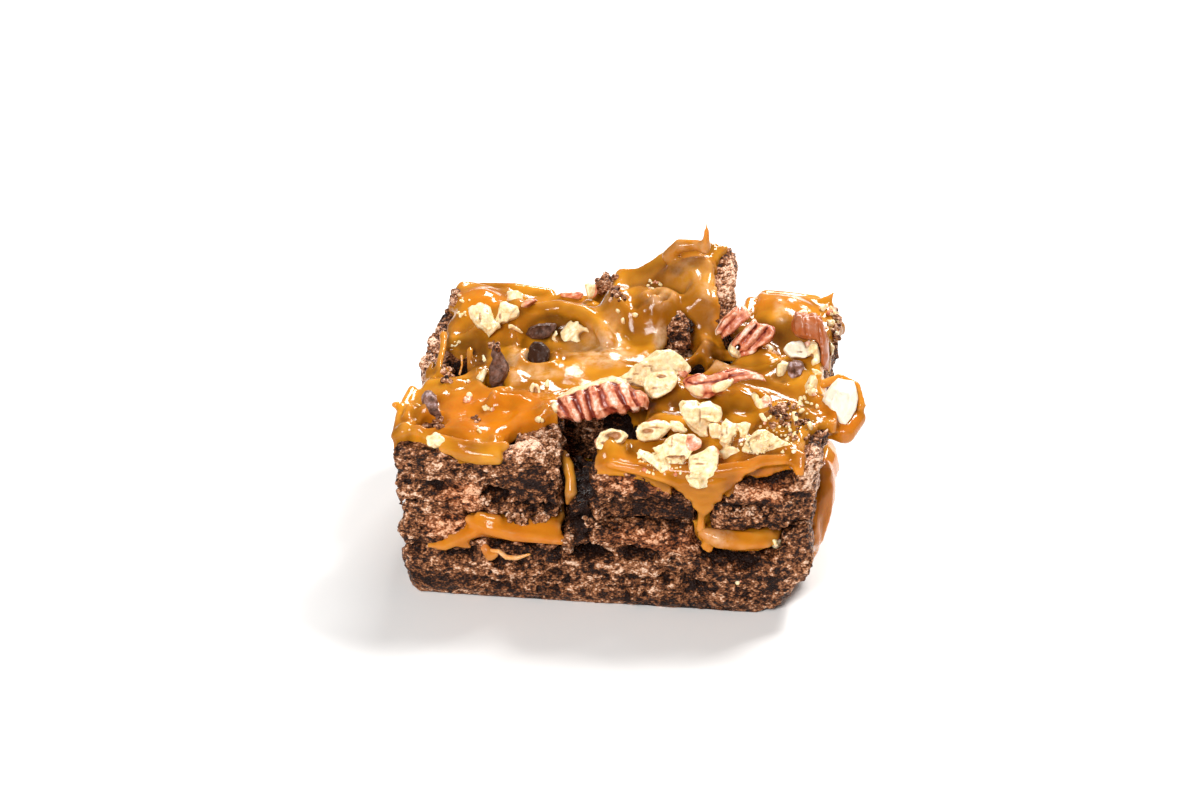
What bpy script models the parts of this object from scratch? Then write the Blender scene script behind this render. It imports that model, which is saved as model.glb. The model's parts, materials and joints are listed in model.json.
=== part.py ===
"""A square turtle brownie: a base layer, a caramel filling, an upper layer broken into chunks, caramel
poured over them, and pecans, chopped nuts and chocolate chips on top.

Run with: blender --background --python part.py
X runs to the right of the front face, Y to the back, Z up from the table. Tables are in millimetres.
"""

import math

import bmesh
import bpy
import numpy as np
from mathutils import Euler, Matrix, Vector, noise
from mathutils.bvhtree import BVHTree

MM = 0.001

# Driving dimensions of the piece, in millimetres.
WIDTH = 62.0
DEPTH = 56.0
BASE_TOP = 10.2
FILLING_TOP = 14.6
CHUNK_FLOOR = 14.9
CARAMEL_DEPTH = 2.0
GAP = 0.34
POUR_GAP = 0.46

# Size of the voxels in the skin that joins a node's overlapping forms, in millimetres.
BASE_VOXEL = 1.0
CHUNK_VOXEL = 0.9
CARAMEL_VOXEL = 0.8
BITS_VOXEL = 0.5

# How many triangles a node keeps. Caramel is thinned once before it is cut to its neighbours, and once after.
BASE_FACES = 1500
FILLING_FACES = (700, 820)
TOPPING_FACES = (3400, 4300)
NUT_FACES = 110
CHIP_FACES = 70
BITS_FACES = 520

# Grid step of the caramel sheet, and how many cells wide the cracks are that it bridges.
SHEET_GRID = 1.0
BRIDGED_CELLS = 2

LEFT, RIGHT = -WIDTH / 2, WIDTH / 2
FRONT, BACK = -DEPTH / 2, DEPTH / 2
BASE_CORNER = 3.6

# Colour, roughness and metallic value of each material.
FINISHES = {
    "crumb": ((0.085, 0.034, 0.018), 0.85, 0.0),
    "caramel": ((0.62, 0.23, 0.025), 0.22, 0.0),
    "pecan_skin": ((0.34, 0.085, 0.035), 0.5, 0.0),
    "nut_flesh": ((0.83, 0.62, 0.34), 0.6, 0.0),
    "chocolate": ((0.06, 0.026, 0.018), 0.4, 0.0),
}

# The base layer's edges at rising heights: height, left, right, front, back. It draws in towards the table.
BASE_LEVELS = [
    (0.0, LEFT + 1.8, RIGHT - 2.8, FRONT + 0.4, BACK - 1.4),
    (0.9, LEFT + 1.0, RIGHT - 1.5, FRONT + 0.1, BACK - 0.6),
    (2.4, LEFT + 0.7, RIGHT - 0.2, FRONT - 0.1, BACK - 0.1),
    (4.8, LEFT + 0.6, RIGHT + 1.3, FRONT - 0.1, BACK),
    (7.8, LEFT + 0.6, RIGHT + 2.6, FRONT, BACK),
    (BASE_TOP, LEFT + 1.0, RIGHT + 3.2, FRONT, BACK - 0.4),
]

# The edges that the chunks keep to at their floor: left, right, front and back.
CHUNK_FOOT = (LEFT + 0.9, RIGHT + 3.0, FRONT + 0.1, BACK - 0.6)

# Crumb that stands up from the base between the runs of filling: x, y, z of two corners.
SHOULDERS = [
    ((-30.0, -27.8, 6.0), (-19.8, -15.0, 17.2)),
    ((-4.2, -27.8, 6.0), (15.8, -21.0, 14.6)),
    ((-4.6, -27.8, 6.0), (0.2, -13.0, 18.4)),
    ((-5.0, -21.0, 6.0), (9.0, -11.0, 17.6)),
    ((29.6, -27.4, 6.0), (34.2, -17.0, 16.6)),
    ((29.8, 8.0, 6.0), (33.6, 26.0, 15.4)),
    ((-30.4, 12.0, 6.0), (-26.0, 27.6, 15.8)),
    ((-12.0, 21.0, 6.0), (8.0, 27.8, 14.0)),
]

# Level crevices in the front face: left end, right end, height, half height and depth.
CREVICES = [
    (-5.0, 10.0, 9.3, 0.9, 1.5),
    (17.0, 27.0, 9.5, 0.9, 1.6),
    (-29.0, -21.0, 8.4, 0.7, 0.8),
    (1.4, 16.6, 16.6, 2.3, 1.8),
    (22.5, 31.5, 24.0, 1.3, 2.2),
    (-17.0, -13.0, 18.8, 1.3, 2.6),
    (-14.0, -5.0, 16.3, 0.9, 1.4),
    (19.0, 30.0, 18.6, 0.8, 0.9),
]

# Filling that bulges out between the layers: centre, radii.
FILLING_BULGES = [
    ((-12.0, -26.6, 12.6), (8.6, 2.2, 2.3)),
    ((-22.0, -26.8, 10.9), (4.6, 2.0, 1.5)),
    ((22.6, -26.4, 13.2), (6.8, 2.2, 2.5)),
    ((34.6, -5.0, 14.6), (2.4, 8.0, 3.4)),
    ((34.9, -10.6, 13.6), (2.0, 4.0, 5.4)),
    ((33.2, -14.6, 7.8), (1.9, 3.4, 5.0)),
    ((-30.0, 0.0, 12.2), (2.0, 8.0, 2.2)),
    ((17.0, 27.2, 12.0), (6.0, 1.8, 2.2)),
    ((-20.0, 27.2, 12.2), (5.0, 1.6, 2.0)),
]

# The chunks of the upper layer. Each outline point is x, y and the height of the chunk's top there.
CHUNKS = {
    "chunk_front_left": {
        "outline": [
            (-31.7, -27.4, 24.8),
            (-22.0, -28.0, 25.0),
            (-13.0, -28.0, 25.4),
            (-10.5, -28.0, 26.8),
            (-5.2, -27.6, 27.0),
            (-4.9, -19.0, 27.6),
            (-6.8, -9.2, 25.8),
            (-17.4, -7.6, 25.6),
            (-19.4, -4.4, 25.2),
            (-30.0, -4.6, 25.2),
        ],
        "faces": 500,
        "seed": 1,
    },
    "chunk_front_middle": {
        "outline": [
            (-0.4, -27.8, 25.2),
            (7.0, -28.0, 24.2),
            (12.0, -28.1, 21.4),
            (16.3, -28.1, 18.6),
            (16.5, -21.0, 22.6),
            (16.2, -12.2, 25.2),
            (9.5, -12.6, 25.6),
            (0.4, -21.0, 26.0),
        ],
        "faces": 360,
        "seed": 2,
    },
    "chunk_front_right": {
        "outline": [
            (18.5, -28.0, 18.6),
            (23.5, -28.1, 23.0),
            (30.0, -27.6, 25.4),
            (35.2, -25.4, 27.2),
            (35.8, -17.0, 27.0),
            (34.6, -4.0, 26.6),
            (33.4, 6.8, 26.6),
            (19.6, 7.2, 25.8),
            (18.6, -9.0, 25.0),
            (18.3, -20.0, 22.4),
        ],
        "faces": 500,
        "seed": 3,
    },
    "chunk_back_left": {
        "outline": [
            (-30.8, -1.6, 24.6),
            (-32.0, 4.6, 25.6),
            (-31.4, 14.0, 27.4),
            (-29.6, 26.6, 28.4),
            (-15.6, 26.8, 26.2),
            (-14.8, 9.0, 25.6),
            (-18.4, 1.6, 25.0),
            (-18.8, -2.0, 24.6),
        ],
        "faces": 380,
        "seed": 4,
    },
    "chunk_centre": {
        "outline": [
            (-16.6, -6.8, 24.6),
            (-5.5, -6.8, 25.4),
            (1.0, -8.2, 25.4),
            (8.0, -10.4, 25.2),
            (16.4, -9.6, 25.4),
            (17.3, 4.0, 26.0),
            (16.4, 9.4, 26.6),
            (3.0, 9.6, 27.0),
            (-4.8, 12.6, 26.8),
            (-5.2, 26.4, 26.8),
            (-13.2, 26.6, 26.0),
            (-12.8, 7.6, 26.0),
            (-16.4, 3.6, 25.2),
        ],
        "faces": 400,
        "seed": 5,
    },
    "chunk_back_tall": {
        "outline": [
            (-3.0, 14.2, 28.6),
            (3.0, 11.4, 29.8),
            (8.6, 11.6, 31.4),
            (17.2, 12.4, 32.4),
            (17.9, 17.0, 37.4),
            (17.9, 26.8, 38.6),
            (8.6, 27.2, 38.2),
            (6.0, 27.2, 35.4),
            (-3.4, 26.6, 32.2),
        ],
        "faces": 420,
        "seed": 6,
    },
    "chunk_back_right": {
        "outline": [
            (20.2, 9.4, 26.6),
            (33.0, 9.0, 27.0),
            (35.2, 15.0, 28.6),
            (34.4, 26.6, 28.6),
            (20.6, 27.0, 28.6),
            (19.8, 18.0, 28.2),
        ],
        "faces": 320,
        "seed": 7,
    },
}

# Places with no caramel over the chunks: x, y and the two half widths of each.
BARE_SPOTS = [
    (-8.2, -25.8, 5.6, 5.0),
    (-2.6, -24.0, 2.3, 9.0),
    (2.0, -15.6, 6.6, 4.4),
    (-26.4, -2.6, 3.4, 2.2),
    (-25.2, -19.6, 1.9, 1.7),
    (-31.8, 15.0, 2.6, 12.0),
    (-12.3, 2.4, 2.1, 2.1),
    (11.2, 9.6, 2.6, 3.0),
    (17.9, 20.0, 1.8, 8.0),
    (27.2, -27.6, 4.2, 2.8),
    (35.0, -24.0, 3.0, 5.0),
    (-29.6, -27.6, 4.4, 2.2),
]

# Where the caramel lies deeper or thinner than elsewhere: x, y, two half widths and the added depth.
SWELLS = [
    (-19.0, -24.0, 8.0, 6.0, 0.9),
    (-24.0, 20.0, 6.5, 7.0, 1.4),
    (-9.0, 20.0, 9.0, 4.0, 1.5),
    (26.5, 20.0, 8.0, 7.5, 1.6),
    (9.5, 20.0, 7.0, 6.0, 0.8),
    (2.0, -25.0, 5.0, 4.0, 0.6),
    (17.4, -24.0, 4.0, 5.0, 1.2),
    (26.0, 1.0, 5.0, 4.0, 0.6),
    (18.5, -1.0, 9.0, 9.0, 1.5),
    (31.5, 6.0, 5.0, 7.5, 1.3),
    (9.0, -21.0, 5.0, 3.4, 0.8),
    (18.0, -18.0, 7.0, 5.0, 0.7),
    (-17.6, 15.6, 4.4, 4.0, 1.4),
    (9.0, -7.0, 7.0, 4.5, 1.6),
    (22.0, 7.4, 4.6, 4.0, 1.0),
]

# Caramel that hangs, folds or stands up: centre, radii and turn about Y in degrees.
CARAMEL_FORMS = [
    ((17.6, -26.6, 22.0), (5.2, 1.9, 3.2), 0),
    ((17.4, -27.0, 18.0), (1.5, 1.4, 3.4), 0),
    ((-31.2, -14.0, 26.2), (1.5, 9.6, 1.8), 0),
    ((9.4, 20.0, 39.2), (4.4, 5.0, 1.8), 0),
    ((12.7, 20.4, 41.2), (1.1, 1.1, 2.2), 0),
    ((9.0, 12.6, 32.6), (6.6, 2.6, 4.0), 20),
    ((14.4, 9.0, 30.4), (2.4, 3.6, 3.6), 0),
    ((36.6, -8.0, 25.4), (3.6, 4.6, 3.0), 12),
    ((38.0, -8.6, 23.4), (2.6, 3.8, 2.2), 0),
    ((-24.0, 27.4, 24.4), (2.4, 1.6, 4.4), 0),
    ((-2.0, 27.6, 26.0), (2.0, 1.5, 5.0), 0),
    ((27.0, 27.4, 25.0), (2.8, 1.7, 5.2), 0),
    ((34.6, 14.0, 25.6), (1.6, 2.8, 4.4), 0),
]

# Whole pecan pieces: the two ends of the long axis, width, height and roll about that axis.
PECANS = {
    "pecan_front": {
        "ends": ((-7.4, -18.8, 28.2), (8.0, -12.6, 30.6)),
        "width": 8.6,
        "height": 5.6,
        "roll": 30,
        "seed": 11,
    },
    "pecan_curved": {
        "ends": ((11.8, -9.4, 29.4), (24.6, -4.6, 30.2)),
        "width": 4.6,
        "height": 5.0,
        "roll": 10,
        "seed": 12,
    },
    "pecan_slab": {
        "ends": ((15.6, 4.6, 30.8), (19.6, 11.2, 33.4)),
        "width": 4.6,
        "height": 4.4,
        "roll": -30,
        "seed": 13,
    },
    "pecan_lump": {
        "ends": ((18.4, 4.6, 29.2), (25.6, 10.6, 31.0)),
        "width": 6.0,
        "height": 5.2,
        "roll": 0,
        "seed": 14,
    },
    "pecan_back": {
        "ends": ((29.4, 11.8, 33.6), (33.4, 0.8, 29.8)),
        "width": 5.0,
        "height": 6.4,
        "roll": -20,
        "seed": 15,
    },
}

# Broken pieces of nut flesh: centre, radii, turn about Z and tilt about X in degrees.
NUT_PIECES = {
    "nut_broken_large": ((7.6, -8.4, 32.4), (6.6, 3.6, 2.7), 16, 20),
    "nut_hollow": ((2.2, -23.8, 28.3), (3.2, 2.1, 1.5), 12, 8),
    "nut_oval": ((9.0, -21.2, 28.6), (3.8, 2.0, 1.4), 14, 0),
    "nut_heart": ((15.8, -16.2, 29.2), (3.7, 3.3, 1.7), -30, 10),
    "nut_yellow": ((11.4, -25.6, 27.4), (3.9, 2.2, 1.9), 8, 10),
    "nut_front": ((17.0, -26.6, 26.4), (3.0, 2.3, 2.7), 0, 0),
    "nut_flat": ((27.0, -22.8, 27.6), (4.2, 2.6, 1.2), 4, 14),
    "nut_edge": ((37.2, -8.6, 28.0), (3.1, 3.0, 3.8), 20, -12),
    "nut_right_upper": ((30.0, 3.8, 31.2), (3.2, 2.0, 1.8), 20, 0),
    "nut_right_side": ((32.4, -6.4, 28.4), (1.9, 2.0, 2.4), 0, 20),
    "nut_left_upper": ((-20.4, 8.6, 30.6), (4.2, 3.4, 2.2), -20, 6),
    "nut_left_far": ((-17.6, 15.6, 31.2), (2.6, 2.2, 1.6), 10, 0),
    "nut_ridge": ((-6.0, 20.6, 31.6), (1.8, 1.7, 1.9), 0, 0),
}

# Chocolate chips and loose crumb lumps: centre and radii.
CHIPS = {
    "chip_centre": ((-12.3, 2.2, 27.4), (1.7, 1.7, 1.6)),
    "chip_above": ((-12.6, 9.6, 29.0), (2.6, 2.0, 1.7)),
    "chip_left": ((-18.2, -3.2, 28.2), (1.5, 2.4, 2.2)),
    "chip_corner": ((-26.8, -15.6, 28.2), (1.9, 3.4, 1.8)),
    "chip_right": ((28.2, -0.8, 29.6), (1.9, 1.7, 1.7)),
}

# A broken piece of the upper layer that stands up through the caramel: centre and radii.
CRUMB_LUMP = ((11.2, 8.8, 30.2), (2.3, 2.2, 3.6))

# Small bits of nut that lie together: the number of them, their area and their size.
BITS = {"count": 13, "centre": (21.2, -19.0, 27.8), "spread": (4.6, 4.4), "radius": 1.5, "seed": 21}


def clear_scene():
    for obj in list(bpy.data.objects):
        bpy.data.objects.remove(obj)


def finish_of(name):
    """The Principled material of that name."""
    found = bpy.data.materials.get(name)
    if found:
        return found
    colour, roughness, metallic = FINISHES[name]
    made = bpy.data.materials.new(name)
    made.use_nodes = True
    made.diffuse_color = (*colour, 1.0)
    shader = made.node_tree.nodes["Principled BSDF"]
    shader.inputs["Base Color"].default_value = (*colour, 1.0)
    shader.inputs["Roughness"].default_value = roughness
    shader.inputs["Metallic"].default_value = metallic
    return made


def object_from(name, bm, finish):
    mesh = bpy.data.meshes.new(name)
    bmesh.ops.recalc_face_normals(bm, faces=bm.faces)
    bm.to_mesh(mesh)
    bm.free()
    obj = bpy.data.objects.new(name, mesh)
    obj.data.materials.append(finish_of(finish))
    bpy.context.scene.collection.objects.link(obj)
    return obj


def apply_modifiers(obj):
    """Turns the evaluated shape into the object's own mesh."""
    graph = bpy.context.evaluated_depsgraph_get()
    mesh = bpy.data.meshes.new_from_object(obj.evaluated_get(graph))
    obj.modifiers.clear()
    old = obj.data
    obj.data = mesh
    bpy.data.meshes.remove(old)


def add_prism(bm, outline, floor):
    """Adds a closed prism from floor up to each outline point's own height."""
    low = [bm.verts.new((x * MM, y * MM, floor * MM)) for x, y, _ in outline]
    high = [bm.verts.new((x * MM, y * MM, top * MM)) for x, y, top in outline]
    bm.faces.new(reversed(low))
    bm.faces.new(high)
    for i in range(len(outline)):
        j = (i + 1) % len(outline)
        bm.faces.new((low[i], low[j], high[j], high[i]))


def add_box(bm, low, high):
    centre = (Vector(low) + Vector(high)) / 2
    size = Vector(high) - Vector(low)
    bmesh.ops.create_cube(bm, size=1.0, matrix=Matrix.LocRotScale(centre * MM, None, size * MM))


def add_lump(bm, centre, radii, turn=(0.0, 0.0, 0.0), detail=3):
    """Adds an ellipsoid. Turn is about X, Y and Z in degrees."""
    angles = Euler([math.radians(a) for a in turn])
    matrix = Matrix.LocRotScale(Vector(centre) * MM, angles, Vector(radii) * MM)
    bmesh.ops.create_icosphere(bm, subdivisions=detail, radius=1.0, matrix=matrix)


def is_closed(mesh):
    """Whether every edge of the mesh joins two faces that turn the same way."""
    bm = bmesh.new()
    bm.from_mesh(mesh)
    bmesh.ops.remove_doubles(bm, verts=bm.verts, dist=0.001 * MM)
    closed = all(e.is_manifold and e.is_contiguous for e in bm.edges)
    closed = closed and all(v.is_manifold for v in bm.verts)
    bm.free()
    return closed


def fuse(obj, voxel, soften=2):
    """Joins all that overlaps in the object into one rounded, closed skin."""
    full = obj.data.copy()
    for attempt in range(8):
        obj.data = full.copy()
        remesh = obj.modifiers.new("fuse", "REMESH")
        remesh.mode = "VOXEL"
        remesh.voxel_size = voxel * (1.0 + 0.03 * attempt) * MM
        smooth = obj.modifiers.new("soften", "SMOOTH")
        smooth.iterations = soften
        smooth.factor = 0.5
        apply_modifiers(obj)
        if is_closed(obj.data):
            break
    bpy.data.meshes.remove(full)


def mend(obj):
    """Takes out the faces round any spot where the skin folds onto itself, and closes the holes."""
    bm = bmesh.new()
    bm.from_mesh(obj.data)
    spots = {v for v in bm.verts if not v.is_manifold}
    spots |= {v for e in bm.edges if not (e.is_manifold and e.is_contiguous) for v in e.verts}
    if spots:
        faces = list({f for v in spots for f in v.link_faces})
        bmesh.ops.delete(bm, geom=faces, context="FACES")
        bmesh.ops.delete(bm, geom=[v for v in bm.verts if not v.link_faces], context="VERTS")
        bmesh.ops.holes_fill(bm, edges=[e for e in bm.edges if e.is_boundary], sides=0)
        bmesh.ops.triangulate(bm, faces=bm.faces)
        bmesh.ops.recalc_face_normals(bm, faces=bm.faces)
        bm.to_mesh(obj.data)
    bm.free()


def thin_out(obj, faces):
    """Brings the object down to about that many triangles, and keeps it closed."""
    full = obj.data.copy()
    full.calc_loop_triangles()
    count = len(full.loop_triangles)
    for attempt in range(12):
        obj.data = full.copy()
        decimate = obj.modifiers.new("thin_out", "DECIMATE")
        decimate.ratio = min(1.0, (faces + 25 * attempt) / count)
        decimate.use_collapse_triangulate = True
        apply_modifiers(obj)
        mend(obj)
        if is_closed(obj.data):
            break
    bpy.data.meshes.remove(full)


def crumb_relief(point, seed):
    """Height of the crumb's crags at a point, in millimetres. Its crevices run level, as in a cut brownie."""
    p = Vector((point.x, point.y, point.z * 1.7)) / MM + Vector((31.0, 17.0, 47.0)) * seed
    swell = noise.noise(p * 0.11)
    crag = abs(noise.noise(p * 0.24)) - 0.25
    pit = noise.noise(p * 0.62)
    return 0.9 * swell + 1.3 * crag + 0.55 * pit


def crevice_depth(point):
    """How far the front face steps back at a point, in millimetres."""
    x, y, z = point / MM
    depth = 0.0
    for left, right, height, half, most in CREVICES:
        along = min(x - left, right - x) / 1.2
        level = math.exp(-(((z - height - 0.5 * noise.noise(point / MM * 0.3)) / half) ** 4))
        depth = max(depth, most * level * max(0.0, min(1.0, along)))
    return depth * max(0.0, min(1.0, (FRONT + 7.0 - y) / 3.0))


def roughen(obj, seed, amount, floor, level_top=None):
    """Pushes the skin in and out by the crumb's relief. What lies at the floor or level_top stays flat."""
    normals = [v.normal.copy() for v in obj.data.vertices]
    for vertex, normal in zip(obj.data.vertices, normals):
        height = vertex.co.z / MM
        share = max(0.0, min(1.0, (height - floor - 0.3) / 1.2))
        if level_top is not None and normal.z > 0.8:
            share *= max(0.0, min(1.0, (height - level_top - 0.4) / 1.0))
        push = normal * crumb_relief(vertex.co, seed) * amount * share
        push.y += crevice_depth(vertex.co)
        vertex.co += push * MM
        if height < floor + 0.3:
            vertex.co.z = floor * MM
        vertex.co.z = max(vertex.co.z, floor * MM)


def grown_copy(obj, gap):
    """A helper copy whose skin stands out by the gap."""
    copy = bpy.data.objects.new(obj.name + "_grown", obj.data.copy())
    bpy.context.scene.collection.objects.link(copy)
    normals = [v.normal.copy() for v in copy.data.vertices]
    for vertex, normal in zip(copy.data.vertices, normals):
        vertex.co += normal * gap * MM
    return copy


def carve(obj, blockers, gap=GAP):
    """Cuts the blockers out of the object, each grown by the gap, and drops loose scraps."""
    for blocker in blockers:
        if not boxes_meet(obj, blocker, gap):
            continue
        helper = grown_copy(blocker, gap)
        cut = obj.modifiers.new("carve", "BOOLEAN")
        cut.operation = "DIFFERENCE"
        cut.object = helper
        apply_modifiers(obj)
        bpy.data.objects.remove(helper)
    keep_largest(obj)


def boxes_meet(first, second, gap):
    """Whether the boxes round two objects come nearer than twice the gap."""
    ends = []
    for obj in (first, second):
        points = np.array([v.co for v in obj.data.vertices])
        ends.append((points.min(0), points.max(0)))
    (low_a, high_a), (low_b, high_b) = ends
    reach = 2 * gap * MM
    return bool((low_a < high_b + reach).all() and (low_b < high_a + reach).all())


def keep_largest(obj):
    """Removes every loose piece of the mesh but the one with the most faces."""
    bm = bmesh.new()
    bm.from_mesh(obj.data)
    left = set(bm.verts)
    islands = []
    while left:
        start = left.pop()
        island = {start}
        edge_of_search = [start]
        while edge_of_search:
            vertex = edge_of_search.pop()
            for edge in vertex.link_edges:
                other = edge.other_vert(vertex)
                if other in left:
                    left.discard(other)
                    island.add(other)
                    edge_of_search.append(other)
        islands.append(island)
    islands.sort(key=len)
    for island in islands[:-1]:
        bmesh.ops.delete(bm, geom=list(island), context="VERTS")
    bm.to_mesh(obj.data)
    bm.free()


def rounded_outline(low, high, corner, top, steps=4):
    """A rectangle with round corners, as outline points at one height."""
    (x0, y0), (x1, y1) = low, high
    centres = [
        (x1 - corner, y1 - corner, 0),
        (x0 + corner, y1 - corner, 90),
        (x0 + corner, y0 + corner, 180),
        (x1 - corner, y0 + corner, 270),
    ]
    points = []
    for cx, cy, start in centres:
        for i in range(steps + 1):
            angle = math.radians(start + 90 * i / steps)
            points.append((cx + corner * math.cos(angle), cy + corner * math.sin(angle), top))
    return points


def add_loft(bm, rings):
    """Adds a closed body through rings of points that all have the same number of points."""
    loops = [[bm.verts.new(Vector(p) * MM) for p in ring] for ring in rings]
    bm.faces.new(reversed(loops[0]))
    bm.faces.new(loops[-1])
    for low, high in zip(loops, loops[1:]):
        for i in range(len(low)):
            j = (i + 1) % len(low)
            bm.faces.new((low[i], low[j], high[j], high[i]))


def make_base():
    """The lower layer, with its rounded foot and the crumb that stands up round the filling."""
    bm = bmesh.new()
    rings = []
    for height, left, right, front, back in BASE_LEVELS:
        rings.append(rounded_outline((left, front), (right, back), BASE_CORNER, height))
    add_loft(bm, rings)
    for low, high in SHOULDERS:
        add_box(bm, low, high)
    base = object_from("brownie_base", bm, "crumb")
    fuse(base, BASE_VOXEL, soften=3)
    roughen(base, 9, 0.85, 0.0, level_top=BASE_TOP)
    thin_out(base, BASE_FACES)
    return base


def make_chunk(name, facts, base):
    """One chunk of the upper layer, cut clear of the base below it."""
    left, right, front, back = CHUNK_FOOT
    bm = bmesh.new()
    foot = [
        (min(max(x, left), right), min(max(y, front), back), CHUNK_FLOOR)
        for x, y, _ in facts["outline"]
    ]
    add_loft(bm, [foot, facts["outline"]])
    chunk = object_from(name, bm, "crumb")
    fuse(chunk, CHUNK_VOXEL, soften=3)
    roughen(chunk, facts["seed"], 0.8, CHUNK_FLOOR)
    thin_out(chunk, facts["faces"])
    carve(chunk, [base])
    thin_out(chunk, facts["faces"])
    return chunk


def make_filling(base, chunks):
    """The caramel between the layers, which runs through the piece and bulges out in places."""
    bm = bmesh.new()
    low, high = (LEFT + 1.8, FRONT + 3.4), (RIGHT + 1.6, BACK - 1.6)
    slab = rounded_outline(low, high, BASE_CORNER, FILLING_TOP)
    add_prism(bm, slab, BASE_TOP + GAP)
    for centre, radii in FILLING_BULGES:
        add_lump(bm, centre, radii)
    filling = object_from("caramel_filling", bm, "caramel")
    fuse(filling, CARAMEL_VOXEL)
    thin_out(filling, FILLING_FACES[0])
    carve(filling, [base, *chunks])
    thin_out(filling, FILLING_FACES[1])
    return filling


def surface_tree(objects):
    """A search tree of all the objects' triangles."""
    points, faces = [], []
    for obj in objects:
        obj.data.calc_loop_triangles()
        start = len(points)
        points += [v.co.copy() for v in obj.data.vertices]
        faces += [[start + i for i in t.vertices] for t in obj.data.loop_triangles]
    return BVHTree.FromPolygons(points, faces)


def spread_max(field, reach):
    """The highest value within reach cells, in a square round each cell."""
    padded = np.pad(field, reach, mode="edge")
    rows, columns = field.shape
    result = field.copy()
    for i in range(2 * reach + 1):
        for j in range(2 * reach + 1):
            result = np.maximum(result, padded[i : i + rows, j : j + columns])
    return result


def blurred(field, times):
    """The field averaged with its neighbours, that many times."""
    for _ in range(times):
        padded = np.pad(field, 1, mode="edge")
        field = (
            padded[:-2, 1:-1] + padded[2:, 1:-1] + padded[1:-1, :-2] + padded[1:-1, 2:] + 4 * field
        ) / 8
    return field


def in_ellipse(x, y, spot):
    """How far points lie outside an ellipse, as a share of its half width. Inside is below 0."""
    return np.hypot((x - spot[0]) / spot[2], (y - spot[1]) / spot[3]) - 1.0


def heights_over(objects, x, y):
    """The highest surface of the objects over each grid point, or 0 where there is none."""
    tree = surface_tree(objects)
    found = np.zeros(x.shape)
    for index in np.ndindex(x.shape):
        start = Vector((x[index], y[index], 60.0)) * MM
        hit = tree.ray_cast(start, Vector((0.0, 0.0, -1.0)))[0]
        if hit is not None:
            found[index] = hit.z / MM
    return found


def caramel_heights(chunks):
    """The sheet's grid, its top and bottom heights, and the grid points that it covers."""
    xs = np.arange(LEFT - 3.0, RIGHT + 6.1, SHEET_GRID)
    ys = np.arange(FRONT - 1.5, BACK + 1.6, SHEET_GRID)
    x, y = np.meshgrid(xs, ys, indexing="ij")
    found = heights_over(chunks, x, y)
    closed = -spread_max(-spread_max(found, BRIDGED_CELLS), BRIDGED_CELLS)
    inside = (closed > CHUNK_FLOOR) & (y > FRONT + 0.2) & (y < BACK - 0.2)
    skin = blurred(np.where(inside, np.maximum(closed, found), 24.0), 3)
    skin = np.maximum(skin, found + 0.3)

    edge = np.full(x.shape, 9.0)
    for spot in BARE_SPOTS:
        edge = np.minimum(edge, in_ellipse(x, y, spot) * min(spot[2], spot[3]))
    ragged = np.array([noise.noise(Vector((a * 0.35, b * 0.35, 5.0))) for a, b in zip(x.flat, y.flat)])
    ragged = ragged.reshape(x.shape)
    edge = edge + 0.7 * ragged

    depth = np.full(x.shape, CARAMEL_DEPTH)
    for spot in SWELLS:
        depth += spot[4] * np.clip(-in_ellipse(x, y, spot) * 1.6, 0.0, 1.0)
    depth *= 0.55 + 0.45 * np.clip(edge / 2.2, 0.0, 1.0)
    top = skin + depth + 0.5 * ragged
    bottom = np.where(found > 0.0, np.minimum(found - 1.6, top - 2.2), top - 2.6)
    return x, y, top, bottom, inside & (edge > 0.0)


def make_topping(base, chunks, filling, pieces):
    """The poured caramel: a sheet that follows the chunks, sinks into the cracks and hangs over edges."""
    bm = bmesh.new()
    add_sheet(bm, *caramel_heights(chunks))
    for centre, radii, turn in CARAMEL_FORMS:
        add_lump(bm, centre, radii, (0.0, turn, 0.0))
    topping = object_from("caramel_topping", bm, "caramel")
    fuse(topping, CARAMEL_VOXEL, soften=3)
    thin_out(topping, TOPPING_FACES[0])
    carve(topping, [base, filling, *chunks, *pieces], POUR_GAP)
    thin_out(topping, TOPPING_FACES[1])
    return topping


def add_sheet(bm, x, y, top, bottom, covered):
    """Adds a closed sheet between two heights over the covered cells."""
    corners = {}

    def corner(i, j, field, level):
        key = (i, j, level)
        if key not in corners:
            corners[key] = bm.verts.new((x[i, j] * MM, y[i, j] * MM, field[i, j] * MM))
        return corners[key]

    rows, columns = covered.shape
    cells = [
        (i, j)
        for i in range(rows - 1)
        for j in range(columns - 1)
        if covered[i : i + 2, j : j + 2].all()
    ]
    filled = set(cells)
    for i, j in cells:
        around = [(i, j), (i + 1, j), (i + 1, j + 1), (i, j + 1)]
        high = [corner(a, b, top, 1) for a, b in around]
        low = [corner(a, b, bottom, 0) for a, b in around]
        bm.faces.new(high)
        bm.faces.new(low[::-1])
        for k, step in enumerate([(0, -1), (1, 0), (0, 1), (-1, 0)]):
            if (i + step[0], j + step[1]) in filled:
                continue
            m = (k + 1) % 4
            bm.faces.new((low[k], low[m], high[m], high[k]))


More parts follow.
